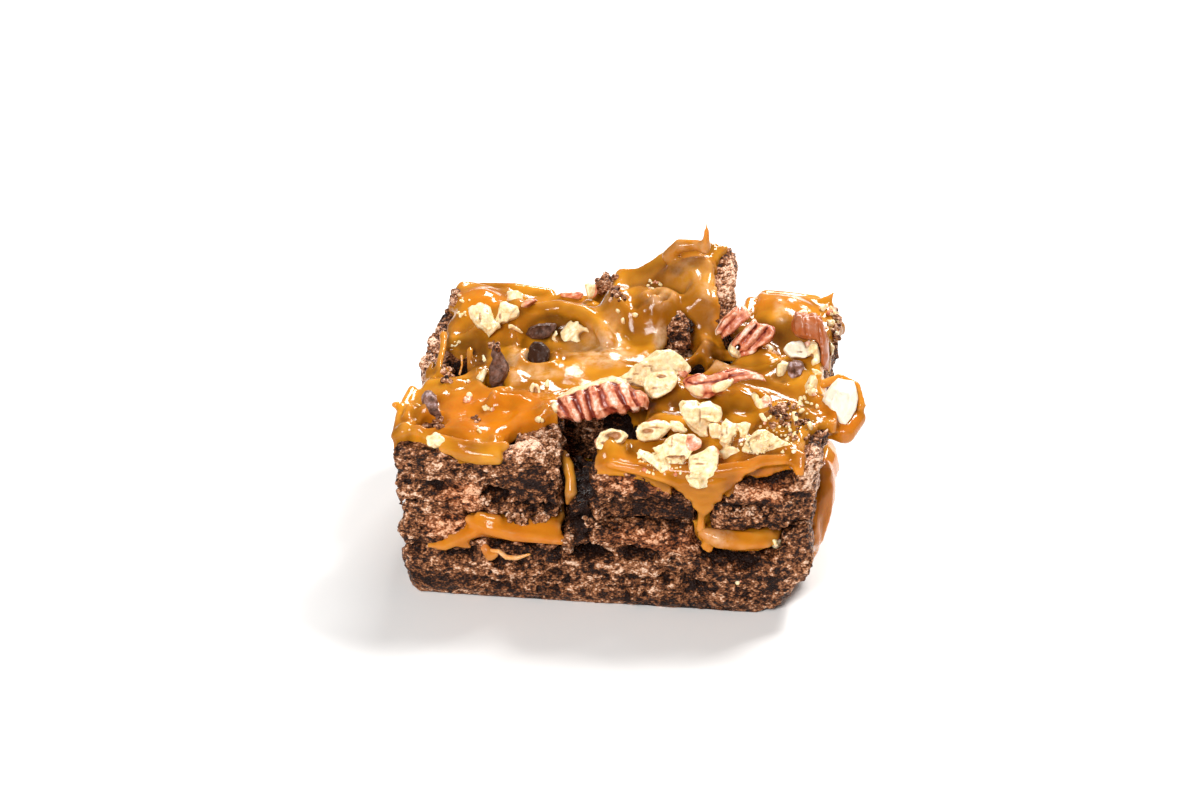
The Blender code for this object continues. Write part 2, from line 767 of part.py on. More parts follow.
def make_pecan(name, facts):
    """A pecan half: a flat-bellied almond shape with a groove along its back and wrinkles across it."""
    start, end = (Vector(p) for p in facts["ends"])
    axis = (end - start).normalized()
    side = Vector((0.0, 0.0, 1.0)).cross(axis).normalized()
    roll = Matrix.Rotation(math.radians(facts["roll"]), 3, axis)
    side = roll @ side
    up = axis.cross(side)
    length = (end - start).length
    stations, around = 10, 11
    bm = bmesh.new()
    rings = []
    for i in range(1, stations):
        along = i / stations
        girth = math.sin(math.pi * along) ** 0.5
        wrinkle = 1.0 + 0.07 * math.sin(along * 30.0 + facts["seed"])
        bend = 1.1 * math.sin(math.pi * along)
        ring = []
        for k in range(around):
            angle = 2 * math.pi * k / around
            across = math.cos(angle)
            rise = math.sin(angle)
            groove = 0.26 * math.exp(-((across / 0.3) ** 2)) if rise > 0 else 0.0
            height = rise * (1.0 - groove) if rise > 0 else rise * 0.45
            point = start + axis * length * along
            point += side * across * facts["width"] / 2 * girth
            point += up * (height * facts["height"] / 2 * girth * wrinkle + bend)
            ring.append(bm.verts.new(point * MM))
        rings.append(ring)
    first = bm.verts.new(start * MM)
    last = bm.verts.new(end * MM)
    for k in range(around):
        m = (k + 1) % around
        bm.faces.new((first, rings[0][m], rings[0][k]))
        bm.faces.new((last, rings[-1][k], rings[-1][m]))
        for low, high in zip(rings, rings[1:]):
            bm.faces.new((low[k], low[m], high[m], high[k]))
    return object_from(name, bm, "pecan_skin")


def make_lump(name, centre, radii, turn, tilt, finish, seed, amount=0.3, faces=NUT_FACES):
    """An uneven lump, such as a broken nut or a chip."""
    bm = bmesh.new()
    add_lump(bm, centre, radii, (tilt, 0.0, turn))
    for vertex in bm.verts:
        offset = vertex.co / MM - Vector(centre)
        uneven = noise.noise(offset * 0.55 + Vector((seed * 7.0, 0.0, 0.0)))
        vertex.co = (Vector(centre) + offset * (1.0 + amount * uneven)) * MM
    lump = object_from(name, bm, finish)
    thin_out(lump, faces)
    return lump


def make_bits():
    """A small heap of nut bits, fused to one low core."""
    rng = np.random.default_rng(BITS["seed"])
    centre = Vector(BITS["centre"])
    spread = BITS["spread"]
    bm = bmesh.new()
    add_lump(bm, centre, (spread[0] * 0.8, spread[1] * 0.8, 1.0))
    for _ in range(BITS["count"]):
        angle = rng.uniform(0.0, 2 * math.pi)
        away = math.sqrt(rng.uniform(0.05, 1.0))
        place = centre + Vector(
            (math.cos(angle) * away * spread[0], math.sin(angle) * away * spread[1], rng.uniform(0.0, 0.9))
        )
        radii = rng.uniform(0.55, 1.0, 3) * BITS["radius"]
        add_lump(bm, place, radii, tuple(rng.uniform(0.0, 180.0, 3)), 2)
    bits = object_from("nut_bits", bm, "nut_flesh")
    fuse(bits, BITS_VOXEL, soften=1)
    thin_out(bits, BITS_FACES)
    return bits


def main():
    clear_scene()
    base = make_base()
    chunks = [make_chunk(name, facts, base) for name, facts in CHUNKS.items()]
    filling = make_filling(base, chunks)
    pieces = []
    for name, facts in PECANS.items():
        pieces.append(make_pecan(name, facts))
    for seed, (name, (centre, radii, turn, tilt)) in enumerate(NUT_PIECES.items()):
        pieces.append(make_lump(name, centre, radii, turn, tilt, "nut_flesh", seed))
    for seed, (name, (centre, radii)) in enumerate(CHIPS.items()):
        pieces.append(make_lump(name, centre, radii, 0, 0, "chocolate", seed + 40, faces=CHIP_FACES))
    centre, radii = CRUMB_LUMP
    pieces.append(make_lump("crumb_lump", centre, radii, 20, 0, "crumb", 60))
    pieces.append(make_bits())
    for i, piece in enumerate(pieces):
        carve(piece, chunks + pieces[:i])
    make_topping(base, chunks, filling, pieces)


if __name__ == "__main__":
    main()
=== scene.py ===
"""Looks of a square turtle brownie: torn chocolate crumb, poured caramel, pecans, nuts and chocolate chips.

X runs to the right of the front face, Y to the back, Z up from the table. Tables are in millimetres.
"""

import itertools
import json
import math

import bmesh
import bpy
import numpy as np
from mathutils import Matrix, Vector
from mathutils.bvhtree import BVHTree

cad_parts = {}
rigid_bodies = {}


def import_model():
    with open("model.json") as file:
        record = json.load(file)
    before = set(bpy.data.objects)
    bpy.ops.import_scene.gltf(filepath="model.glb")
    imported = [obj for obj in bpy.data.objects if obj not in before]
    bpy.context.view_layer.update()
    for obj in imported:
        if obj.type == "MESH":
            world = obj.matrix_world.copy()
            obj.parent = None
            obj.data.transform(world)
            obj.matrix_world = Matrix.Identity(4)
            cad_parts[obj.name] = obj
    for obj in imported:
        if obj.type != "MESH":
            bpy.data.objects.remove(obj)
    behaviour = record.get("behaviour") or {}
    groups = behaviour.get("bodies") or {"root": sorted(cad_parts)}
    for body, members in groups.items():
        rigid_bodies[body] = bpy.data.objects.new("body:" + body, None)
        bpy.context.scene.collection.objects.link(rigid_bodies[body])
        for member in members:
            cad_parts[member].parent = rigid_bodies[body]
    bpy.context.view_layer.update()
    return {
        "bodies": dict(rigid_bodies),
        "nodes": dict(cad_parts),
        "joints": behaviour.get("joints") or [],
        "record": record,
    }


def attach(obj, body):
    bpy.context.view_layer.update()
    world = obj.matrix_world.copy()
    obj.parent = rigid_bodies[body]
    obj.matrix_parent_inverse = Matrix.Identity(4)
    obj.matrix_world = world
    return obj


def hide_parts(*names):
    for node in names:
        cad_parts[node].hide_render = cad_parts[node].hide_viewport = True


MM = 0.001
FRONT_FACE = -28.0

# The photograph's size in pixels, and its view: azimuth and elevation in degrees, distance, aim and lens.
PHOTO_WIDTH, PHOTO_HEIGHT = 1200, 800
SENSOR = 36.0
CAMERA = {"azimuth": 7.0, "elevation": 27.0, "distance": 590.0, "aim": (-2.0, 0.0, 22.0), "lens": 110.0}

# Lights that all point at one place: name, place, size, power and colour. Then the floor's half width.
LIGHTS = [
    ("window", (210, 240, 400), 130, 2.7, (1.0, 0.98, 0.95)),
    ("back_window", (30, 430, 310), 150, 1.9, (1.0, 0.99, 0.97)),
    ("fill", (-90, -430, 300), 170, 2.7, (1.0, 0.98, 0.96)),
]
LIT = (0, 0, 20)
FLOOR_HALF = 3000.0

# Voxel sizes of the remeshed pieces.
BASE_VOXEL, CHUNK_VOXEL, HIDDEN_VOXEL, LUMP_VOXEL = 0.41, 0.33, 0.42, 0.24
CARAMEL_VOXEL, FILLING_VOXEL, THREAD_VOXEL, NUT_VOXEL = 0.38, 0.42, 0.16, 0.2

# Heights of the flat undersides of the crumb, and the height over which its tops are pitted.
BASE_FLOOR, CHUNK_FLOOR, LUMP_FLOOR = 0.0, 14.0, 20.0
PITTED = 20.0

# The poured caramel: step and reach of its grid, the lowest crumb that it covers, how far it goes to the
# front and back, and its depth where no swell or fold changes it.
GRID, GRID_X, GRID_Y = 0.4, (-34.0, 37.1), (-29.5, 29.6)
POURED_OVER, POURED_TO, POURED_DEPTH = 20.5, 27.9, 1.7

# Seeds of the noise and the random draws. Chunks, pecan pieces, nuts and chips each count on from theirs.
BASE_SEED, CHUNK_SEED, LUMP_SEED = 100, 200, 700
PECAN_SEED, NUT_SEED, CHIP_SEED = 1040, 1100, 1300
SLIVER_SEED, NUT_BITS_SEED, CRUMB_BITS_SEED = 1450, 1500, 1600

CHUNKS = [
    "chunk_front_left", "chunk_front_middle", "chunk_front_right", "chunk_back_left", "chunk_centre",
    "chunk_back_tall", "chunk_back_right",
]

# Level crevices in the front face: left end, right end, height, half height and depth.
CREVICES = [
    (-5, 10, 8.8, 1, 2.4), (16.8, 28, 9.3, 1, 2.2), (-13.5, -4, 8.7, 1, 2.2), (-24, -17.6, 8, 0.7, 1.8),
    (1.4, 16.6, 16.4, 2.2, 0.6), (22.5, 31.5, 24, 1.3, 2.8), (-17, -12.6, 18.4, 1.2, 1.8),
    (-14, -5, 16.3, 0.9, 1.2), (-30.5, -18, 19.6, 0.5, 1.2), (19, 30, 18.6, 0.6, 0.5),
    (10, 20, 5.4, 0.6, 0.9),
]

# Places on the front face where the crumb is smooth and fudgy: x, z, half widths.
CALM = [
    (9, 16.4, 7.6, 2.3), (-10.6, 21, 4.4, 2.4), (25, 19.6, 3.4, 1), (-24, 2.4, 6, 1.6), (4, 1.6, 22, 1),
]

# Deep places where the crumb is darkened with painted shade: x, y, z, three half widths and how much.
SHADED = [
    (-1.6, -21, 19, 3, 9, 10, 1.3), (3.6, -16, 22, 9, 8, 7, 2), (19.6, 14, 27, 3, 9, 7, 0.7),
    (-25.4, 0.6, 24.6, 3.6, 4.4, 4, 1.4), (27, -28, 24.2, 5, 4, 1.4, 0.9), (15.4, 5.4, 24, 4.4, 5, 6, 1.2),
    (25, -28, 15, 9, 3, 7, 0.09), (26, -28, 4, 9, 3, 5, 0.07),
]

# Places where the crumb is paler, partly pale moist crumb and partly painted highlight and sheen: x, y, z,
# three half widths and how much.
PALE = [
    (-8.6, -22.6, 27, 6.4, 6.4, 3.6, 1), (34.6, -24, 24.6, 4.6, 5, 5.4, 0.8), (17.6, 20, 34, 3, 9, 6, 1),
    (-31, 8, 24, 3, 14, 6, 0.5), (26, -28, 21.6, 4, 3, 1.6, 0.8), (-17, -28, 18.6, 3.4, 3, 2.4, 0.9),
    (0, -28, 4.6, 9, 3, 3.6, 0.24), (-20, -28, 22, 9, 3, 4, 0.24),
]

# Places on the front face that are redder: x, z, half widths.
RED = [
    (9, 12, 8.6, 2.4), (8, 22, 8, 2.2), (-20, 18, 5, 3), (27, 21.4, 4.6, 1.6), (-22, 12.6, 5, 2.6),
]

# Places with no caramel over the chunks: x, y and the two half widths of each.
BARE_SPOTS = [
    (-7.4, -25.6, 6.4, 7), (-2.2, -24, 2.9, 9), (0.4, -16.6, 6.6, 4.2), (-26.4, 2, 2.6, 4.2),
    (-26.4, -19.6, 2, 2), (-31.8, 12, 2.9, 14), (-12.3, 2.3, 1.6, 1.7), (-18.3, -4.6, 1.3, 1.6),
    (9.8, 8.8, 2.7, 2.8), (17.6, 20, 2.7, 8.6), (27.4, -27.4, 5.2, 2.2), (35.6, -22, 3, 8),
    (-28.8, -28.2, 7.6, 4.4), (4.6, -17.6, 6.4, 2), (13.6, 3.4, 1.7, 2), (17.4, 7.4, 1.3, 2.4),
    (38, 15, 2.8, 9.5),
]

# Where the caramel lies deeper or thinner than elsewhere: x, y, two half widths and the added depth.
SWELLS = [
    (-19, -24, 8, 6, 0.5), (-23.4, 18, 6.5, 8, 2.2), (25.6, 20, 8.4, 7.5, 1.8), (9.5, 20, 7, 6, 0.8),
    (2, -25, 5, 4, 0.4), (17.4, -24, 4, 5, 0.8), (26, 1, 5, 4, 0.6), (18.5, -1, 9, 9, 1.3),
    (31.5, 6, 5, 7.5, 1.3), (18, -18, 7, 5, 0.5), (-17.6, 14.6, 4.4, 5, 1.2), (9, -7, 7, 4.5, 1.6),
    (22, 7.4, 4.6, 4, 1), (-26, 2, 4, 6, -1.3), (-21, 1, 3, 7, -0.5), (-18.2, -6, 2.4, 3.4, -0.9),
    (-26, -16, 3, 5, -0.9), (-14, -12, 7, 4, -0.3), (27, 11, 4.6, 4.6, -1.6), (2, 23.6, 6.6, 5.6, -1.5),
    (13.6, 3, 3, 3, -1), (-22.6, 2.4, 2.6, 4.6, -1.2), (32, -22, 3, 4, -0.6),
]

# Where the caramel is clotted and rough: x, y and the two half widths of each.
ROUGH_SPOTS = [
    (5.4, 14, 3.6, 2.6), (29, -13, 4, 4), (-28.6, -18, 2.2, 7), (-16, -14.4, 4, 1.6),
]

# Folds and flows in the caramel: points of a line with x and y, half width and added height.
FOLDS = [
    ([(-14.8, 3.8), (-14.6, 0.6), (-12.2, -0.6), (-9.9, 0.8), (-9.8, 3.8)], 0.9, 0.9),
    ([(-16.9, 5.5), (-15.6, 0), (-14.4, -5.5)], 1.3, 0.7),
    ([(-19.6, -13.4), (-16.6, -14.8), (-13.4, -13.8)], 0.6, 0.8),
    ([(1.2, 22), (5.4, 19.4), (9.8, 16.4)], 0.8, -2),
    ([(10.6, 18), (12.4, 14), (13.6, 9), (14.6, 4), (18, 0.6)], 1.7, 1.2),
    ([(7.4, 21.4), (12.8, 20.2)], 1.4, 0.8),
    ([(3.6, 16.4), (6, 15), (8.2, 12.8)], 1.6, 0.9),
    ([(-24.4, -25), (-20.6, -26.6), (-16.5, -27), (-13.2, -24.8), (-10.6, -20.8), (-8.6, -18)], 0.9, 0.8),
    ([(-30.4, -24.4), (-30.8, -14), (-29.8, -5)], 0.8, 0.7),
    ([(2, -27), (8, -27), (13.6, -26)], 0.8, 0.5),
    ([(-22.6, 3), (-21, -3), (-17, -8)], 1.2, 0.6),
    ([(21, -6.6), (24, -9), (25.6, -13)], 0.5, 0.6),
]

# The hood of caramel: middle of the hollow in front of it, half widths of its inner edge, and its height.
HOOD = (-9.4, 6.0, 7.4, 7.4, 3.2)

# Caramel that hangs, folds or stands up: points of a line with x, y, z and radius.
DRAPES = [
    [(-17.4, 9, 28.6, 1.2), (-16.8, 12.4, 29.6, 1.4), (-14.4, 14.2, 30.4, 1.4), (-10.6, 14.8, 30.8, 1.5)],
    [(-10.6, 14.8, 30.8, 1.5), (-6.4, 13.8, 30.6, 1.5), (-3.4, 11.2, 29.8, 1.4), (-1.6, 7.6, 28.6, 1.3)],
    [
        (-24.2, -26, 27.2, 0.8), (-20.5, -27.2, 27, 0.9), (-16.6, -27.4, 26.7, 0.9),
        (-13.6, -26.4, 26.7, 0.8),
    ],
    [(-22.8, -27, 26.2, 1.1), (-19, -27.7, 25.8, 1.3), (-15, -27.9, 25.6, 1.2)],
    [(-20.6, -27.8, 25.4, 0.9), (-17.4, -28, 25, 1), (-14.4, -28, 25, 0.8)],
    [(-31.4, -23, 25.4, 0.7), (-31.6, -15, 26, 0.9), (-31.2, -8, 26, 0.8)],
    [(-32.4, -14.6, 26.6, 0.7), (-33.2, -15, 26.8, 0.35)],
    [(-28.4, 6.6, 29, 0.7), (-28, 3.4, 28, 0.6), (-28.2, 0.4, 26.6, 0.6), (-27.6, -1.6, 25.8, 0.9)],
    [(-27, -1.2, 26.4, 0.7), (-26.4, -0.2, 24.8, 0.7), (-26.6, 0.4, 23.4, 0.5)],
    [(-23.6, 3.4, 28, 0.6), (-23.4, 1.4, 26.6, 0.5), (-22.8, -0.6, 25.8, 0.6)],
    [(6.6, 22.6, 37.6, 1.2), (8.4, 22.3, 39.7, 1.2), (11, 22, 40.1, 1), (12.8, 21.6, 40.2, 0.9)],
    [(12.6, 21.4, 40, 1.1), (12.8, 21.2, 41.2, 0.75), (12.9, 21, 42.6, 0.48), (12.95, 20.9, 44.4, 0.34)],
    [(18.6, 13.6, 29.4, 1.6), (19.8, 11.6, 29.6, 1.8), (21, 9.4, 29, 1.8)],
    [(-8.8, -14, 26.8, 1), (-8.2, -10.4, 27, 1.2), (-6.4, -8.6, 27, 1.1), (-2.6, -8.8, 27, 1)],
    [(12, -27.4, 24.6, 1.2), (16, -27.4, 24.4, 1.3), (20, -27.2, 24.8, 1.3), (24, -26.8, 25.6, 1.1)],
    [(24, -26.8, 25.6, 1.1), (26, -25.6, 26.2, 1), (29, -25.2, 26.4, 0.9), (32.4, -24.6, 26.2, 0.7)],
    [(12.4, -27.8, 23.2, 1), (16, -27.8, 23, 1.2), (19, -27.8, 23.2, 1.2), (22.6, -27.2, 24.2, 1)],
    [(13.8, -27.9, 22.2, 0.9), (16.6, -28, 21.6, 1.1), (19.4, -27.9, 21.8, 1.1), (21.2, -27.6, 22.8, 0.8)],
    [(15.2, -28, 21, 0.9), (17.4, -28.1, 20.2, 1), (19.8, -28, 20.8, 0.8)],
    [(16.4, -28.1, 19.4, 0.8), (17.6, -28.1, 18.4, 0.9), (18.6, -28.1, 19.2, 0.7)],
    [(17.4, -28.1, 18.4, 0.8), (17.2, -28.1, 17.2, 0.6), (17.1, -28.1, 15.2, 0.8)],
    [(3, -27.8, 25.3, 0.7), (7, -28.1, 24.8, 0.8), (11, -28.1, 23.8, 0.9), (14, -28, 22.8, 1)],
    [(20.4, 22.4, 29.8, 1.3), (20.2, 18, 29.6, 1.3), (20.8, 14.6, 29, 1.2)],
    [(33.6, -7.4, 26.8, 2), (36.6, -8, 25.6, 2.8), (38.4, -8.4, 24.8, 2.2)],
    [(35.4, -10.8, 25, 1.7), (38, -11.4, 24.6, 1.9), (39.6, -8.4, 25.6, 1.6)],
    [(34.2, -5.4, 29.8, 0.8), (36.6, -4.6, 30.8, 0.6), (39.4, -5.6, 30, 0.6), (40.3, -8, 27.6, 0.8)],
    [(-28, 26.4, 27, 1.6), (-25, 26.8, 27, 2), (-20, 26.8, 27.2, 2), (-14, 26.6, 27.2, 1.5)],
    [(-24, 26.8, 26.4, 2.1), (-24.3, 27.2, 23.6, 1.3), (-24.1, 27.3, 20.6, 0.9), (-24, 27.4, 18.8, 1.2)],
    [(-17, 26.8, 26.6, 1.8), (-16.8, 27.2, 24.2, 1), (-16.9, 27.2, 22.8, 1.1)],
    [(-4.4, 26.6, 29.6, 1.8), (-2, 26.9, 27.4, 1.8), (-1.8, 27.2, 24.8, 1), (-2, 27.4, 22.6, 1.3)],
    [(22.6, 26.6, 28.8, 1.7), (26.4, 26.8, 28, 2.2), (30.4, 26.6, 28.4, 1.6)],
    [(26.8, 26.9, 27.4, 2), (27.2, 27.3, 24, 1.2), (26.9, 27.3, 20.4, 0.9), (26.8, 27.4, 18.2, 1.3)],
    [(31.6, 24.6, 29.6, 0.8), (33, 25.2, 30.2, 0.6), (33.6, 25.4, 31, 0.3)],
]

# Where the caramel is milky with painted sheen and highlight, browned partly with painted shade, or bright
# orange: x, y, z, three half widths and how much.
MILKY = [
    (-11, 18.4, 31, 5, 0.9, 3, 0.5), (-1.6, 8, 30, 2.4, 6, 3, 0.5), (-14.6, 4, 27.8, 1.5, 3.4, 2.4, 1.3),
    (-11.4, -2.2, 27.8, 3.4, 1.8, 2.4, 0.8), (6.6, 9.6, 29, 1.1, 2.4, 2.4, 1.2),
    (-16, 2.4, 28.6, 1.8, 4.6, 2.6, 0.8), (-14.8, -3.4, 27.6, 1.6, 3.6, 2.4, 0.7),
    (-1.6, 5, 28.5, 4.6, 4.4, 2.4, 1.3), (-5, 8.6, 28.6, 4, 3.6, 2.4, 0.7),
    (14, 15.6, 35.6, 1.6, 4, 4, 0.5), (14.6, 9, 32.4, 1.6, 5, 3.4, 0.4), (18.6, 1.4, 28.8, 4, 2, 2.4, 0.7),
    (5.6, 13.8, 35.4, 3.4, 3.4, 2.4, 0.7), (10, 20.4, 40.4, 5, 1.6, 1.4, 0.4), (9, 18, 37.6, 6, 5, 4, 0.3),
    (20, -28.4, 14, 2.4, 2, 1.4, 0.8), (25.6, 17, 31.6, 1.4, 3, 2, 0.6),
]
# Browned caramel is partly browner caramel where it lies thick or over crumb, and partly painted shade under
# the hood, the dome, the lumps and in deep holes.
BROWNED = [
    (4.6, 19.4, 36.6, 5.4, 1.6, 1.1, 1.2), (2, 20.4, 33.4, 4, 2, 2.2, 0.5),
    (-3, 18, 32, 2.4, 3.4, 2.4, 0.8), (-24, 4.6, 27.4, 4.4, 6, 3, 1.2), (-20.6, 2, 27.4, 2.4, 6, 3, 0.5),
    (6, -10, 27.6, 9, 4.4, 2.6, 1.3), (18, -10.4, 27.4, 6, 4, 2.4, 0.6),
    (28.4, -13.4, 28, 5.6, 5, 2.6, 0.6), (24.6, 0.6, 29, 5, 4, 3, 0.8), (27.4, 11, 29.4, 4.6, 3.6, 3, 1.3),
    (9, -22.6, 27, 8, 3.4, 2, 0.7), (-11.5, 12.2, 28.2, 5.6, 2.6, 2.2, 1.9),
    (-22.6, 2.4, 27, 2.6, 5, 2.4, 1.4), (13.4, 3, 27.6, 3, 3, 2.6, 2), (17, 7, 28.4, 2.6, 4, 3, 1.8),
    (26.2, 12.6, 30.6, 4.6, 3.4, 3.6, 1.8), (20, 11, 29, 3, 5, 3, 1.8), (17, -27, 22, 9, 4, 6, 1),
    (22, -22, 26.6, 12, 6, 2.6, 0.9), (18.4, -28.2, 19.4, 3.4, 2.4, 4, 1),
    (-9.6, -27.6, 15.4, 7, 3, 1.5, 1.2), (-28.4, -18, 27.4, 2.4, 8, 2.4, 0.5),
]
ORANGE = [
    (-17, -17, 27.6, 13, 10, 4, 1.1), (25, 21.6, 31, 7, 5, 3.4, 0.5), (-23.4, 17.6, 31, 5, 6, 4.4, 0.8),
    (37.4, -10, 26, 4.4, 4.4, 4, 1.2), (35.4, -14, 11, 4.4, 12, 12, 1.8), (-13, -28, 11.6, 16, 3, 6, 1),
    (20, -28, 13.4, 9, 3, 4, 0.6), (7, -28, 25, 8, 2.4, 2, 0.8), (20, -26, 25, 16, 5, 6, 0.9),
    (-24, 2, 25.6, 3, 5, 2.4, 0.4),
]

# Pits in the tops of the crumb, where it is torn out: x, y, two half widths and the depth.
PITS = [
    (0.6, -16.6, 6.6, 4.2, 4.4), (-26.4, 2.2, 2.4, 4, 3.4), (-25.6, -19.8, 1.6, 1.6, 2.4),
    (4.6, -17.4, 6, 2, 5), (13.6, 3.4, 2, 2.2, 6), (17.4, 7.4, 1.6, 2.6, 6),
]

# Filling that runs over the crumb between the layers: points of a line with x, y, z and radius.
FILLING_RUNS = [
    [
        (-19, -27.6, 14, 0.9), (-16, -28.2, 13.2, 1.4), (-12, -28.4, 12.4, 1.3), (-8, -28.2, 12, 1.1),
        (-3.6, -28, 11.4, 0.7),
    ],
    [(-17.6, -28, 12.6, 1.1), (-20.6, -28.3, 10.8, 0.9), (-23, -28.3, 9.4, 0.8), (-25.6, -28.2, 9.3, 0.4)],
    [(-20.4, -28.3, 10, 0.7), (-19.2, -28.3, 9.6, 0.5)],
    [(-14.6, -28, 14.6, 0.8), (-17.6, -27.9, 15.2, 0.6)],
    [(17.6, -28.1, 14.4, 1), (20, -28.3, 13.6, 1.6), (23.4, -28.2, 13, 1.2), (27.4, -27.8, 13, 0.8)],
    [(17.8, -28.2, 12.2, 0.7), (18.6, -28.2, 11.4, 0.5)],
    [
        (34.4, -12, 18, 0.9), (35.6, -12.4, 15, 1.2), (35.6, -12.8, 11, 1), (34.6, -13.4, 6.6, 0.9),
        (33.2, -14.4, 4, 0.6),
    ],
    [(33.6, -20, 8, 0.6), (33.8, -16, 6.4, 0.9), (33.2, -13, 3.6, 0.7)],
    [(-16.6, -28.2, 9.4, 0.8), (-15.8, -28.4, 8.2, 0.9), (-15, -28.4, 8.6, 0.7)],
    [(-29.8, -17, 12, 0.5), (-30.4, -13.6, 13, 1), (-31, -7, 12.6, 1.4), (-31.4, 0, 12.2, 1.5)],
    [(-31.4, 0, 12.2, 1.5), (-30.6, 7, 13.2, 1.2), (-30, 12, 14, 0.8), (-29.9, 15.4, 13.6, 0.4)],
    [(-31.2, -3, 12, 1.3), (-30.9, -3.4, 9.6, 0.9), (-30.9, -3.2, 8, 1.1)],
    [(-27, 27.6, 12.2, 0.6), (-23, 28, 12.8, 1.1), (-17.6, 28.4, 12, 1.4), (-12.6, 27.8, 13, 0.9)],
    [(-17.6, 28.2, 11.6, 1.2), (-17.8, 28.3, 9, 0.8), (-17.7, 28.3, 7.2, 1)],
    [(8, 27.6, 13, 0.5), (12.6, 28, 12.8, 1.1), (18, 27.9, 12, 1.4), (24.6, 27.6, 12.8, 1.1)],
    [(24.6, 27.6, 12.8, 1.1), (30.6, 27.2, 12.2, 0.6)],
    [
        (-3.9, -25, 16.6, 0.5), (-3.5, -24.8, 18.4, 1.1), (-3.6, -24, 20.2, 0.9), (-4.2, -23, 22, 1),
        (-5, -22, 23.6, 0.7),
    ],
]

# Thin threads of caramel: points of a line with x, y, z and radius.
THREADS = [
    [
        (-15.6, -28.5, 9.2, 0.34), (-14.4, -28.7, 9.3, 0.36), (-13.2, -28.7, 8.3, 0.42),
        (-11.6, -28.6, 8.2, 0.4), (-9.6, -28.4, 8.9, 0.22),
    ],
    [(-24.8, 2.2, 27.4, 0.25), (-24.6, 1.4, 26.2, 0.2), (-24.9, 0.8, 24.9, 0.25)],
]

# Pecan pieces with skin, drawn as the nuts below are, then the slope of their furrows in degrees and how many
# deep ones there are to a millimetre. A share of skin over 1 is skin glazed with caramel.
PECAN_PARTS = {
    "pecan_front": ([
        (1, 0, 6, 0.08, [
            (551, 407), (555, 398), (566, 393), (588, 386), (613, 380), (632, 384), (650, 397), (648, 409),
            (597, 421), (572, 424), (559, 419)]),
        (0, -0.6, 4.4, 0.12, [(556, 397), (575, 386), (613, 376), (628, 381), (588, 391), (566, 399)]),
        (0.4, 0.2, 3, 0.12, [(550, 406), (555, 400), (562, 402), (563, 412), (554, 413)]),
    ], (-66, 0.44)),
    "pecan_slab": ([
        (1, 0.3, 3.8, 0.08, [
            (714, 332), (720, 322), (727, 314), (733, 308), (738, 306), (740, 311), (719, 335), (716, 336)]),
        (1, -0.3, 4.2, 0.08, [
            (720, 336), (726, 328), (741, 313), (742, 306), (747, 309), (751, 316), (729, 336), (722, 340)]),
        (0.2, -0.6, 2.4, 0.1, [(741, 306), (745, 306), (750, 312), (752, 317), (748, 317)]),
    ], (50, 0)),
    "pecan_lump": ([
        (1, 0.5, 4.4, 0.1, [(730, 344), (740, 332), (754, 318), (759, 321), (739, 345), (732, 349)]),
        (1, 0, 4.6, 0.1, [
            (739, 346), (750, 335), (760, 322), (769, 324), (764, 333), (746, 353), (738, 353)]),
        (1, -0.4, 4.4, 0.1, [
            (765, 334), (770, 325), (774, 327), (776, 332), (774, 338), (770, 342), (748, 353)]),
        (0.1, 0.5, 2.8, 0.14, [(728, 351), (730, 345), (735, 347), (740, 352), (739, 358), (732, 357)]),
        (0.7, -0.3, 3.2, 0.1, [(738, 352), (750, 351), (760, 346), (756, 352), (748, 356), (740, 358)]),
    ], (42, 0)),
    "pecan_back": ([
        (1.9, 0, 5, 0.08, [
            (795, 312), (806, 314), (813, 313), (820, 314), (823, 320), (829, 340), (830, 360), (828, 369),
            (824, 370), (822, 366), (822, 356), (820, 346), (815, 340), (804, 340), (795, 336), (792, 330),
            (792, 322)]),
        (0.1, -0.6, 1.4, 0.08, [(798, 311), (803, 310), (808, 311), (807, 314), (800, 314)]),
    ], (-80, 0)),
    "pecan_curved": ([
        (1, 0, 4, 0.08, [
            (682, 381), (684, 379), (699, 374), (703, 374), (707, 376), (726, 370), (734, 379), (723, 393),
            (709, 400), (701, 400), (694, 397), (688, 392)]),
        (1, -0.2, 3, 0.06, [
            (712, 374), (732, 368), (748, 369), (757, 371), (763, 374), (767, 382), (757, 380), (748, 380),
            (741, 381), (728, 386), (716, 382)]),
        (0, 0.9, 2.8, 0.1, [
            (708, 386), (715, 381), (724, 378), (733, 379), (732, 384), (725, 391), (716, 394), (709, 392)]),
        (0.45, 1.1, 2, 0.1, [(684, 386), (692, 382), (704, 384), (708, 391), (703, 397), (694, 396)]),
    ], (8, 0)),
}

